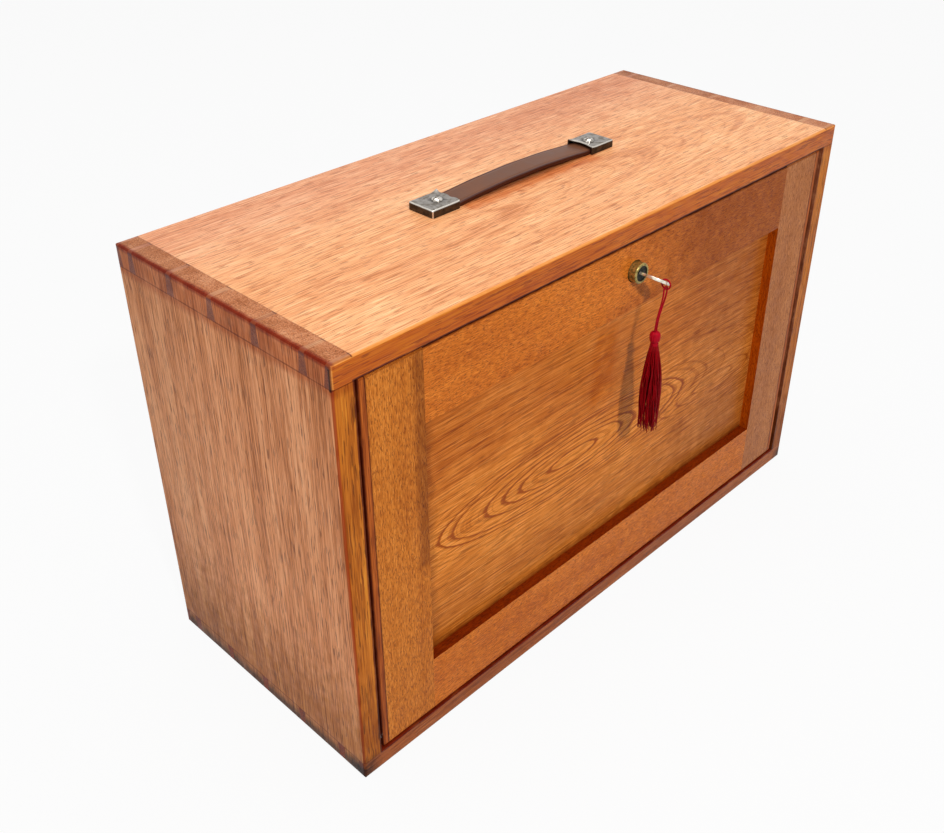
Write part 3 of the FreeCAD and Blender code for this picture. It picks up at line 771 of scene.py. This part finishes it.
panel_oak = oak(
    "varnished_oak_panel",
    dark="#a44c10",
    middle="#e0842c",
    light="#ffa850",
    pore_width=0.8,
    pore_share=0.4,
    fibre_share=1.5,
    band_share=0.6,
    ring_gap=2.6,
    ring_share=0.25,
    heart=(-42, -91.5, 149.5),
    stretch=0.2,
    figures=[
        ((-42, -91.5, 149.5), 0.85, (7.8, 12.9, 15.8, 19.3, 25.1, 27.4)),
        ((134, -91.5, 134), 0.45, (8, 12, 16)),
    ],
    marks=[
        ((-200, -110, 210), (200, -90, 260), 60, 1.0, "#e1d0bf"),
        ((-200, -110, 50), (200, -90, 80), 60, 1.0, "#e0d8d0"),
        ((130, -110, 50), (200, -90, 260), 70, 1.0, "#e0dce4"),
        # Painted shade along the panel's left edge, under the stile.
        ((-200, -110, 50), (-187, -90, 260), 12, 0.8, "#a09078"),
        ((-190, -110, 120), (-187, -90, 252), 5, 0.35, "#907c68"),
        # Painted reflection: an orange glow on the panel beside the tassel's shadow.
        ((-20, -110, 186), (-5, -90, 236), 9, 0.9, "#f2dc50"),
        ((-190, -110, 50), (190, -90, 62.5), 5, 0.7, "#a47a50"),
    ],
)
lipping_oak = oak(
    "varnished_oak_lipping",
    grain="Z",
    dark="#6e2a08",
    middle="#a85018",
    light="#cc6c28",
    shift=(33, 66, 99),
    marks=GAP_SHADE_AND_JOINT_LINES[3:5] + GAP_SHADE_AND_JOINT_LINES[7:9],
)
for node, finish in (
    ("front_left_stile", stile_oak),
    ("front_right_stile", far_stile_oak),
    ("front_top_rail", rail_oak),
    ("front_bottom_rail", rail_oak),
    ("front_panel", panel_oak),
    ("front_lippings", lipping_oak),
):
    give(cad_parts[node], finish)

# %% [markdown]
# Inside, the wood never saw the sun. The drawer fronts are varnished, and what slides behind them is
# bare oak, paler and duller.

# %% Oak for the inside
BARE = {
    "dark": "#b08454",
    "middle": "#cfa375",
    "light": "#e3bd92",
    "pore": "#8a6038",
    "pore_share": 0.4,
    "arris_share": 0.0,
    "roughness": 0.6,
}
drawer_oak = oak(
    "varnished_oak_drawer_front", dark="#b5652a", middle="#d88a48", light="#eea566", shift=(70, 500, 20), pore_share=0.35
)
bare_oak_along = oak("bare_oak_along", shift=(10, 77, 140), **BARE)
bare_oak_deep = oak("bare_oak_deep", grain="Y", shift=(150, 30, 10), **BARE)
drawers = ["drawer_1", "drawer_2", "drawer_3", "drawer_4", "top_drawer_left", "top_drawer_right"]
for drawer in drawers:
    give(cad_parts[drawer + "_front"], drawer_oak)
    give(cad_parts[drawer + "_back"], bare_oak_along)
    give(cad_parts[drawer + "_bottom"], bare_oak_along)
    give(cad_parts[drawer + "_sides"], bare_oak_deep)
for node in ("drawer_shelves", "stop_rail"):
    give(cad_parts[node], bare_oak_along)
for node in ("centre_partition", "drawer_runners"):
    give(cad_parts[node], bare_oak_deep)

# %% [markdown]
# The metals have each aged in their own way. The lock's brass has gone green-brown and stays bright
# where fingers rub. The key is nickel plated. The handle's caps are bare steel with dark oxide in
# their dents. All of them use one recipe: a clean metal, a tarnish over it in patches, and a gloss
# that is duller where the tarnish is.


# %% Metals
def aged_metal(
    name, clean, tarnish, patch_mm, share, smooth, rough, dent=0.1, metal=1.0, sides=None, marks=()
):
    """A metal with a duller tarnish in patches; sides is a (stain, rubbed edge) pair of colours."""
    metal_finish = new_material(name)
    place = add_node(metal_finish, "ShaderNodeTexCoord")
    patches = add_node(
        metal_finish,
        "ShaderNodeTexNoise",
        {"Vector": place.outputs["Object"], "Scale": 1 / (patch_mm * MM), "Detail": 5.0, "Roughness": 0.65},
    )
    mask = add_node(
        metal_finish,
        "ShaderNodeMapRange",
        {"Value": patches.outputs[0], "From Min": 0.62 - share * 0.4, "From Max": 0.78 - share * 0.4},
    )
    tone = add_node(
        metal_finish,
        "ShaderNodeMix",
        {0: mask.outputs[0], 6: colour(clean), 7: colour(tarnish)},
        data_type="RGBA",
    )
    finish = tone.outputs[2]
    if sides:
        tint_colour, rubbed = sides
        for axis in "XY":
            finish = tint(metal_finish, finish, face_mask(metal_finish, place, axis, 0.9), tint_colour)
        edge = edge_mask(metal_finish, place, 0.8)
        edge_toned = add_node(
            metal_finish, "ShaderNodeMix", {0: edge, 6: finish, 7: colour(rubbed)}, data_type="RGBA"
        )
        finish = edge_toned.outputs[2]
    for low, high, soft, share, tint_colour in marks:
        spot = box_mask(metal_finish, place, patches, low, high, soft, share)
        finish = tint(metal_finish, finish, spot, tint_colour)
    gloss = add_node(
        metal_finish, "ShaderNodeMapRange", {"Value": mask.outputs[0], "To Min": smooth, "To Max": rough}
    )
    bump = add_node(
        metal_finish,
        "ShaderNodeBump",
        {"Height": patches.outputs[0], "Strength": dent, "Distance": 0.4 * MM},
    )
    shader = add_node(
        metal_finish,
        "ShaderNodeBsdfPrincipled",
        {
            "Base Color": finish,
            "Metallic": metal,
            "Roughness": gloss.outputs[0],
            "Normal": bump.outputs[0],
        },
    )
    return close_material(metal_finish, shader)


lock_brass = aged_metal("aged_brass", "#b8a05c", "#6c6030", 1.6, 0.5, 0.24, 0.42, metal=0.75)
plug_black = aged_metal("blackened_zinc", "#2a281c", "#15130d", 1.5, 0.5, 0.35, 0.6)
key_nickel = aged_metal("nickel_plated_key", "#e8e2d2", "#9d9278", 3.0, 0.3, 0.16, 0.35, dent=0.05, metal=0.7)
cap_steel = aged_metal(
    "tarnished_steel_cap",
    "#96908a",
    "#6a6258",
    5.0,
    0.45,
    0.26,
    0.42,
    dent=0.05,
    sides=("#6c645c", "#d6d0c6"),
    marks=[
        # A darker ring round each screw head.
        ((-79.75, -2, 325), (-73.75, 4, 327), 3.2, 0.9, "#4a4038"),
        ((75.75, -2, 325), (81.75, 4, 327), 3.2, 0.9, "#4a4038"),
    ],
)
screw_nickel = aged_metal("nickel_plated_screw", "#d6d0c8", "#6a6258", 1.5, 0.4, 0.15, 0.4)
bright_steel = aged_metal("bright_steel", "#b9b6b2", "#7b766f", 3.0, 0.4, 0.25, 0.45)
knob_brass = aged_metal("polished_brass_knob", "#d8b060", "#9a7836", 4.0, 0.3, 0.18, 0.35)
for node, finish in (
    ("lock_barrel", lock_brass),
    ("lock_nut", lock_brass),
    ("lock_plug", plug_black),
    ("lock_cam", bright_steel),
    ("cam_screw", bright_steel),
    ("pivot_pins", bright_steel),
):
    give(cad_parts[node], finish)

# %% [markdown]
# Pieces are modelled as by hand: a primitive is added at its size and place and then shaped in edit
# mode. These helpers start a piece, pick its vertices by place, and finish it with its place
# kept in its mesh.


# %% Helpers for modelling
def add_block(name, low, high):
    """A cube stretched between two corners in millimetres, with its place in its mesh."""
    bpy.ops.object.select_all(action="DESELECT")
    low, high = Vector(low) * MM, Vector(high) * MM
    bpy.ops.mesh.primitive_cube_add(size=1.0, location=(low + high) / 2, scale=high - low)
    piece = bpy.context.object
    piece.name = name
    bpy.ops.object.transform_apply(location=True, rotation=True, scale=True)
    return piece


def pick(piece, kind, test):
    """In edit mode, selects the piece's vertices, edges or faces whose middle passes the test, in mm."""
    mesh = bmesh.from_edit_mesh(piece.data)
    bpy.ops.mesh.select_all(action="DESELECT")
    bpy.context.tool_settings.mesh_select_mode = tuple(kind == k for k in ("verts", "edges", "faces"))
    chosen = 0
    for part in getattr(mesh, kind):
        if kind == "verts":
            middle = part.co
        elif kind == "edges":
            middle = (part.verts[0].co + part.verts[1].co) / 2
        else:
            middle = part.calc_center_median()
        if test(middle / MM, part):
            part.select_set(True)
            chosen += 1
    mesh.select_flush_mode()
    bmesh.update_edit_mesh(piece.data)
    return chosen


def use_modifier(piece, kind, **settings):
    """Adds a modifier with its settings and applies it."""
    bpy.ops.object.select_all(action="DESELECT")
    piece.select_set(True)
    bpy.context.view_layer.objects.active = piece
    modifier = piece.modifiers.new(kind.lower(), kind)
    for name, value in settings.items():
        setattr(modifier, name, value)
    bpy.ops.object.modifier_apply(modifier=modifier.name)


def smooth(piece, degrees=35):
    """Smooth shading that keeps edges sharper than the angle."""
    bpy.ops.object.select_all(action="DESELECT")
    piece.select_set(True)
    bpy.context.view_layer.objects.active = piece
    bpy.ops.object.shade_smooth_by_angle(angle=math.radians(degrees))


# %% [markdown]
# The strap is a flat belt of thick leather. It starts as a grid, and its points are lifted along
# the bow that the strap takes between the caps. Its long edges are rolled down a little, because
# the leather was folded over there. Solidify gives its thickness and a bevel rounds its edges.

# %% The handle strap
STRAP_WIDTH = 21.1
STRAP_THICKNESS = 3.3
STRAP_BOW = 3.0
STRAP_ENDS = (-87.65, 89.65)
CAP_MOUTHS = (-66.75, 68.75)
HANDLE_Y = 1.0
CASE_TOP = 320.0


def strap_rise(x):
    """How high the strap's underside stands over the case at x, in millimetres."""
    middle = (CAP_MOUTHS[0] + CAP_MOUTHS[1]) / 2
    half = (CAP_MOUTHS[1] - CAP_MOUTHS[0]) / 2
    along = (x - middle) / half
    return STRAP_BOW * max(0.0, 1 - along * along)


bpy.ops.object.select_all(action="DESELECT")
bpy.ops.mesh.primitive_grid_add(x_subdivisions=90, y_subdivisions=32, size=1.0)
strap = bpy.context.object
strap.name = "leather_strap"
for vertex in strap.data.vertices:
    x = STRAP_ENDS[0] + (vertex.co.x + 0.5) * (STRAP_ENDS[1] - STRAP_ENDS[0])
    y = HANDLE_Y + vertex.co.y * STRAP_WIDTH
    edge = abs(vertex.co.y) * 2
    sway = 0.25 * math.sin(x / 17.0) + 0.15 * math.sin(x / 6.3 + vertex.co.y * 3)
    inside = CAP_MOUTHS[0] < x < CAP_MOUTHS[1]
    roll_down = 0.5 * edge**8 + 0.3 * math.exp(-(((edge - 0.8) / 0.07) ** 2))
    z = CASE_TOP + STRAP_THICKNESS + strap_rise(x) - roll_down + (0.12 * sway if inside else 0)
    side_sway = 0.18 * math.sin(x / 11.0) * edge if inside else 0
    vertex.co = Vector((x, y - math.copysign(abs(side_sway), vertex.co.y), z)) * MM
use_modifier(strap, "SOLIDIFY", thickness=STRAP_THICKNESS * MM, offset=-1.0)
use_modifier(strap, "BEVEL", width=0.6 * MM, segments=3, limit_method="ANGLE", angle_limit=math.radians(50))
smooth(strap)

# %% [markdown]
# Each cap is a piece of sheet steel pressed into a shallow box, open underneath and at its inner
# end. A block loses those two faces, its outer edges are rounded, and Solidify gives the
# sheet its thickness. Years of lifting have bent the lips of the open ends.

# %% The handle caps
CAP_LENGTH = 25.0
CAP_WIDTH = 23.5
CAP_HEIGHT = 5.7
CAP_SHEET = 1.1


CAP_OUTER_ENDS = (-91.75, 93.75)


def pressed_cap(name, outer, inner, lift, ragged):
    """One cap from its outer to its inner end; lift and ragged bend and wear its inner lip."""
    low = (min(outer, inner), HANDLE_Y - CAP_WIDTH / 2, CASE_TOP)
    high = (max(outer, inner), HANDLE_Y + CAP_WIDTH / 2, CASE_TOP + CAP_HEIGHT)
    cap = add_block(name, low, high)
    bpy.ops.object.mode_set(mode="EDIT")
    pick(cap, "faces", lambda m, part: m.z < CASE_TOP + 0.1 or abs(m.x - inner) < 0.1)
    bpy.ops.mesh.delete(type="FACE")
    pick(cap, "edges", lambda m, part: not part.is_boundary)
    bpy.ops.mesh.bevel(offset=1.2 * MM, segments=4, affect="EDGES")
    bpy.ops.mesh.select_all(action="SELECT")
    bpy.ops.mesh.subdivide(number_cuts=9)
    bpy.ops.object.mode_set(mode="OBJECT")
    inwards = math.copysign(1.0, inner - outer)
    for vertex in cap.data.vertices:
        spot = vertex.co / MM
        across = spot.y - HANDLE_Y
        near_mouth = max(0.0, 1 - abs(spot.x - inner) / 6.0) ** 2
        if spot.z > CASE_TOP + CAP_HEIGHT - 1.4:
            vertex.co.z += near_mouth * lift(across) * MM
            vertex.co.z += 0.12 * MM * math.sin(spot.x * 0.9 + 1) * math.sin(across * 0.8)
        vertex.co.x += inwards * near_mouth * ragged(across) * MM
    use_modifier(cap, "SOLIDIFY", thickness=CAP_SHEET * MM, offset=-1.0)
    use_modifier(cap, "BEVEL", width=0.25 * MM, segments=2, limit_method="ANGLE", angle_limit=math.radians(50))
    smooth(cap, 40)
    return cap


left_cap = pressed_cap(
    "steel_cap_left",
    CAP_OUTER_ENDS[0],
    CAP_OUTER_ENDS[0] + CAP_LENGTH,
    lambda y: 0.5 + 0.9 * max(0.0, y / 11.0) ** 2 + 0.3 * math.sin(y * 0.7),
    lambda y: 0.6 * math.sin(y * 0.6 + 1.0) - 0.5,
)
right_cap = pressed_cap(
    "steel_cap_right",
    CAP_OUTER_ENDS[1],
    CAP_OUTER_ENDS[1] - CAP_LENGTH,
    lambda y: 1.5 - 0.8 * (y / 11.0) ** 2,
    lambda y: -1.4 * max(0.0, 1 - ((y + 1.0) / 9.0) ** 2),
)

# %% [markdown]
# Screw heads and knobs are turned on a lathe. A cylinder is cut into slices at the heights of a
# profile, and each slice takes the profile's radius. Each cap is held by one screw with a domed
# head. A block cuts its slot, as a saw would.


# %% Turned pieces
def turned(name, centre, axis, profile, segments=40):
    """A round piece along an axis from its centre, in mm; profile lists (distance, radius)."""
    depth = profile[-1][0]
    bpy.ops.object.select_all(action="DESELECT")
    bpy.ops.mesh.primitive_cylinder_add(
        vertices=segments, radius=1.0 * MM, depth=depth * MM, location=(0, 0, depth / 2 * MM)
    )
    piece = bpy.context.object
    piece.name = name
    bpy.ops.object.transform_apply(location=True, rotation=True, scale=True)
    bpy.ops.object.mode_set(mode="EDIT")
    for distance, _ in profile[1:-1]:
        bpy.ops.mesh.select_all(action="SELECT")
        bpy.ops.mesh.bisect(plane_co=(0, 0, distance * MM), plane_no=(0, 0, 1))
    bpy.ops.object.mode_set(mode="OBJECT")
    radius_at = {round(distance, 3): radius for distance, radius in profile}
    lay_down = Vector((0, 0, 1)).rotation_difference(Vector(axis)).to_matrix()
    for vertex in piece.data.vertices:
        radius = radius_at[round(vertex.co.z / MM, 3)]
        shaped = Vector((vertex.co.x * radius, vertex.co.y * radius, vertex.co.z))
        vertex.co = lay_down @ shaped + Vector(centre) * MM
    smooth(piece, 32)
    return piece


DOME = [(0, 3.9), (0.4, 3.85), (0.9, 3.5), (1.35, 2.85), (1.7, 1.95), (1.9, 0.9), (1.95, 0.3)]


def cap_screw(name, x):
    """A domed, slotted screw head that sits on a cap."""
    head = turned(name, (x, HANDLE_Y, CASE_TOP + CAP_HEIGHT - 0.05), (0, 0, 1), DOME)
    seat = CASE_TOP + CAP_HEIGHT
    saw = add_block("saw", (x - 6, HANDLE_Y - 0.5, seat + 0.9), (x + 6, HANDLE_Y + 0.5, seat + 4))
    use_modifier(head, "BOOLEAN", operation="DIFFERENCE", object=saw, solver="EXACT")
    bpy.data.objects.remove(saw)
    return head


left_screw = cap_screw("cap_screw_left", -76.75)
right_screw = cap_screw("cap_screw_right", 78.75)

# %% Drawer knobs
KNOB_LENGTH = 14.0
KNOB_RADIUS = 7.5
KNOB_PROFILE = [
    (0, 5.2),
    (1.0, 5.2),
    (1.6, 3.4),
    (4.5, 2.9),
    (7.0, 4.0),
    (8.2, 6.6),
    (9.2, 7.45),
    (10.4, 7.5),
    (12.0, 6.8),
    (13.2, 4.8),
    (14.0, 1.2),
]
drawer_knobs = []
for drawer in drawers:
    low, high = (Vector(corner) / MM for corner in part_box(drawer + "_knobs"))
    middle_z = (low.z + high.z) / 2
    single = high.x - low.x < 3 * KNOB_RADIUS
    places = [(low.x + high.x) / 2] if single else [low.x + KNOB_RADIUS, high.x - KNOB_RADIUS]
    pair = []
    for number, x in enumerate(places):
        centre = (x, low.y + KNOB_LENGTH, middle_z)
        pair.append(turned(f"{drawer}_brass_knob_{number + 1}", centre, (0, -1, 0), KNOB_PROFILE))
    drawer_knobs.append((drawer, pair))
print("drawer knobs", sum(len(pair) for _, pair in drawer_knobs))

# %% [markdown]
# The key is cut from nickel-plated sheet, and handling has rounded its edges. A copy of the CAD key
# is merged, so that its triangles become one skin, and a bevel takes the sharpness off its edges.


# %% The key
def softened_copy(name, node, width):
    """A copy of a CAD node's mesh with its edges rounded."""
    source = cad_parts[node]
    piece = bpy.data.objects.new(name, source.data.copy())
    bpy.context.scene.collection.objects.link(piece)
    bpy.ops.object.select_all(action="DESELECT")
    piece.select_set(True)
    bpy.context.view_layer.objects.active = piece
    bpy.ops.object.mode_set(mode="EDIT")
    bpy.ops.mesh.select_all(action="SELECT")
    bpy.ops.mesh.remove_doubles(threshold=0.00001)
    bpy.ops.mesh.tris_convert_to_quads()
    bpy.ops.mesh.dissolve_limited(angle_limit=math.radians(1))
    bpy.ops.object.mode_set(mode="OBJECT")
    use_modifier(piece, "BEVEL", width=width * MM, segments=2, limit_method="ANGLE", angle_limit=math.radians(50))
    smooth(piece, 40)
    return piece


worn_key = softened_copy("worn_key", "key", 0.25)

# %% [markdown]
# A tassel is a bundle of threads folded over a cord and bound at the neck. The head is a barrel of
# upright threads, the neck is a few turns of the same thread, and the skirt is what hangs
# free. One thread is modelled, and copies are spread round the neck with their own lengths and bends.

# %% The tassel head
TASSEL_X, TASSEL_Y = -0.5, -128.0
HEAD_TOP, HEAD_FOOT, SKIRT_TOP, SKIRT_FOOT = 246.2, 237.7, 232.7, 166.7
NECK_RADIUS = 2.6
HEAD_PROFILE = [
    (0, 2.2),
    (0.8, 3.0),
    (2.0, 3.5),
    (3.6, 3.7),
    (5.2, 3.7),
    (6.4, 3.5),
    (7.4, 3.0),
    (8.1, 2.2),
    (8.5, 1.1),
]
HEAD_PLIES = 15
tassel_head = turned(
    "tassel_head_silk", (TASSEL_X, TASSEL_Y, HEAD_FOOT), (0, 0, 1), HEAD_PROFILE, segments=6 * HEAD_PLIES
)
for vertex in tassel_head.data.vertices:
    around = vertex.co / MM - Vector((TASSEL_X, TASSEL_Y, 0))
    ridge = 1.0 + 0.07 * math.cos(HEAD_PLIES * math.atan2(around.y, around.x) + 0.5 * around.z)
    around.x *= min(ridge, 1.0 + 0.01 * ridge)
    around.y *= min(ridge, 1.0 + 0.01 * ridge)
    vertex.co = (around + Vector((TASSEL_X, TASSEL_Y, 0))) * MM
smooth(tassel_head, 180)

# %% The neck and the skirt
bindings = []
for turn_number in range(5):
    bpy.ops.object.select_all(action="DESELECT")
    bpy.ops.mesh.primitive_torus_add(
        major_segments=28,
        minor_segments=8,
        major_radius=(NECK_RADIUS - 0.35) * MM,
        minor_radius=0.55 * MM,
        location=Vector((TASSEL_X, TASSEL_Y, HEAD_FOOT - 0.5 - 0.95 * turn_number)) * MM,
    )
    binding = bpy.context.object
    bpy.ops.object.transform_apply(location=True, rotation=True, scale=True)
    bindings.append(binding)
bpy.ops.object.select_all(action="DESELECT")
for binding in bindings:
    binding.select_set(True)
bpy.context.view_layer.objects.active = bindings[0]
bpy.ops.object.join()
tassel_neck = bpy.context.object
tassel_neck.name = "tassel_neck_silk"
bpy.ops.object.shade_smooth()

bpy.ops.object.select_all(action="DESELECT")
bpy.ops.mesh.primitive_cylinder_add(vertices=5, radius=0.42 * MM, depth=1.0, end_fill_type="TRIFAN")
thread_pattern = bpy.context.object
SKIRT_RADIUS = 7.7
bpy.ops.object.mode_set(mode="EDIT")
for cut in range(1, 12):
    bpy.ops.mesh.select_all(action="SELECT")
    bpy.ops.mesh.bisect(plane_co=(0, 0, -0.5 + cut / 12), plane_no=(0, 0, 1))
bpy.ops.object.mode_set(mode="OBJECT")
thread_mesh = thread_pattern.data
chance = random.Random(7)
threads = []
for ring, count in ((0.45, 22), (0.75, 36), (1.0, 50)):
    for number in range(count):
        angle = 2 * math.pi * (number + chance.uniform(-0.3, 0.3)) / count
        spread = ring * chance.uniform(0.8, 1.0)
        length = (SKIRT_TOP + 3 - SKIRT_FOOT) * chance.uniform(0.86, 1.0)
        lean = chance.uniform(-0.4, 0.4)
        phase = chance.uniform(0, 6.28)
        mesh = thread_mesh.copy()
        for vertex in mesh.vertices:
            down = 0.5 - vertex.co.z
            fullness = SKIRT_RADIUS - NECK_RADIUS
            belly = NECK_RADIUS + fullness * math.sin(math.pi / 2 * min(1.0, down / 0.62))
            reach = spread * (belly - 1.0 * max(0.0, down - 0.62) / 0.38)
            reach += 0.25 * math.sin(7 * down + 2 * phase)
            theta = angle + lean * down + 0.09 * math.sin(9 * down + phase)
            out = Vector((math.cos(theta), math.sin(theta), 0))
            centre = Vector((TASSEL_X, TASSEL_Y, SKIRT_TOP + 3 - length * down)) + out * reach
            vertex.co = centre * MM + Vector((vertex.co.x, vertex.co.y, 0)) * (1 - 0.35 * down)
        thread = bpy.data.objects.new("thread", mesh)
        bpy.context.scene.collection.objects.link(thread)
        threads.append(thread)
bpy.data.objects.remove(thread_pattern)
bpy.ops.object.select_all(action="DESELECT")
for thread in threads:
    thread.select_set(True)
bpy.context.view_layer.objects.active = threads[0]
bpy.ops.object.join()
tassel_skirt = bpy.context.object
tassel_skirt.name = "tassel_skirt_silk"
bpy.ops.object.shade_smooth()
print("skirt threads", len(threads))

# %% [markdown]
# The tassel is spun silk or its rayon cousin, dyed crimson. Fine twisted threads throw back a soft
# light along their edges; here the finish is rough with a low specular level, and its colour
# shifts a little from thread to thread.


# %% Silk
def dyed_silk(name, deep, bright):
    """Crimson silk thread with a fine twist."""
    silk = new_material(name)
    place = add_node(silk, "ShaderNodeTexCoord")
    stretch = add_node(
        silk, "ShaderNodeMapping", {"Vector": place.outputs["Object"], "Scale": (900, 900, 60)}
    )
    streaks = add_node(
        silk, "ShaderNodeTexNoise", {"Vector": stretch.outputs[0], "Scale": 1.0, "Detail": 2.0}
    )
    tone = add_node(
        silk,
        "ShaderNodeMix",
        {0: streaks.outputs[0], 6: colour(deep), 7: colour(bright)},
        data_type="RGBA",
    )
    bump = add_node(
        silk, "ShaderNodeBump", {"Height": streaks.outputs[0], "Strength": 0.4, "Distance": 0.1 * MM}
    )
    shader = add_node(
        silk,
        "ShaderNodeBsdfPrincipled",
        {
            "Base Color": tone.outputs[2],
            "Roughness": 0.5,
            "Normal": bump.outputs[0],
            "Specular IOR Level": 0.06,
        },
    )
    return close_material(silk, shader)


skirt_silk = dyed_silk("crimson_silk_skirt", "#420002", "#ac0410")
head_silk = dyed_silk("crimson_silk_head", "#740008", "#c8102a")
for piece in (silk_cord, cord_hitch, tassel_head, tassel_neck):
    give(piece, head_silk)
give(tassel_skirt, skirt_silk)

# %% [markdown]
# The strap is vegetable-tanned leather, dyed a dark red-brown and polished by hands. It has a fine
# pebbled grain, small creases across it where it bends, and darker edges where the dye and dirt
# gather.

# %% Leather
strap_leather = new_material("tanned_leather_strap")
place = add_node(strap_leather, "ShaderNodeTexCoord")
pebble = add_node(
    strap_leather,
    "ShaderNodeTexVoronoi",
    {"Vector": place.outputs["Object"], "Scale": 1 / (0.9 * MM)},
    feature="SMOOTH_F1",
)
crease_map = add_node(
    strap_leather, "ShaderNodeMapping", {"Vector": place.outputs["Object"], "Scale": (700, 90, 90)}
)
creases = add_node(
    strap_leather, "ShaderNodeTexNoise", {"Vector": crease_map.outputs[0], "Scale": 1.0, "Detail": 3.0}
)
cloud = add_node(
    strap_leather,
    "ShaderNodeTexNoise",
    {"Vector": place.outputs["Object"], "Scale": 60.0, "Detail": 4.0},
)
where = add_node(strap_leather, "ShaderNodeSeparateXYZ", {0: place.outputs["Object"]})
from_middle = add_node(
    strap_leather, "ShaderNodeMath", {0: where.outputs[1], 1: -HANDLE_Y * MM}, operation="ADD"
)
off_centre = add_node(strap_leather, "ShaderNodeMath", {0: from_middle.outputs[0]}, operation="ABSOLUTE")
dark_edges = add_node(
    strap_leather,
    "ShaderNodeMapRange",
    {"Value": off_centre.outputs[0], "From Min": 8.4 * MM, "From Max": 9.3 * MM, "To Max": 0.9},
)
body = add_node(
    strap_leather,
    "ShaderNodeMix",
    {0: cloud.outputs[0], 6: colour("#472616"), 7: colour("#7a4e36")},
    data_type="RGBA",
)
edged = add_node(
    strap_leather,
    "ShaderNodeMix",
    {0: dark_edges.outputs[0], 6: body.outputs[2], 7: colour("#38120a")},
    data_type="RGBA",
)
height = add_node(
    strap_leather,
    "ShaderNodeMath",
    {0: pebble.outputs["Distance"], 1: 0.6, 2: creases.outputs[0]},
    operation="MULTIPLY_ADD",
)
leather_bump = add_node(
    strap_leather, "ShaderNodeBump", {"Height": height.outputs[0], "Strength": 0.35, "Distance": 0.2 * MM}
)
leather_gloss = add_node(
    strap_leather,
    "ShaderNodeMapRange",
    {"Value": cloud.outputs[0], "From Min": 0.3, "From Max": 0.7, "To Min": 0.36, "To Max": 0.55},
)
close_material(
    strap_leather,
    add_node(
        strap_leather,
        "ShaderNodeBsdfPrincipled",
        {
            "Base Color": edged.outputs[2],
            "Roughness": leather_gloss.outputs[0],
            "Normal": leather_bump.outputs[0],
            "IOR": 1.5,
            "Specular IOR Level": 0.18,
        },
    ),
)
give(strap, strap_leather)
give(left_cap, cap_steel)
give(right_cap, cap_steel)
give(worn_key, key_nickel)
give(left_screw, screw_nickel)
give(right_screw, screw_nickel)
for drawer, pair in drawer_knobs:
    for knob in pair:
        give(knob, knob_brass)

# %% [markdown]
# Each piece now rides on its CAD body, and the CAD node that it replaces is hidden.

# %% Ride and replace
for piece, body_name, slot_name, nodes in (
    (strap, "case", "strap_leather", ["handle_strap"]),
    (left_cap, "case", "cap_steel", ["handle_cap_left"]),
    (right_cap, "case", "cap_steel", ["handle_cap_right"]),
    (left_screw, "case", "screw_nickel", ["handle_screws"]),
    (right_screw, "case", "screw_nickel", []),
    (worn_key, "key", "key_steel", ["key"]),
    (cord_hitch, "key", "tassel_silk", ["cord_hitch"]),
    (silk_cord, "tassel", "tassel_silk", ["tassel_cord"]),
    (tassel_head, "tassel", "tassel_silk", ["tassel_head"]),
    (tassel_neck, "tassel", "tassel_silk", []),
    (tassel_skirt, "tassel", "tassel_silk", ["tassel_skirt"]),
):
    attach(piece, body_name)
    if nodes:
        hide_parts(*nodes)
for drawer, pair in drawer_knobs:
    for knob in pair:
        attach(knob, drawer)
    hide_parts(drawer + "_knobs")
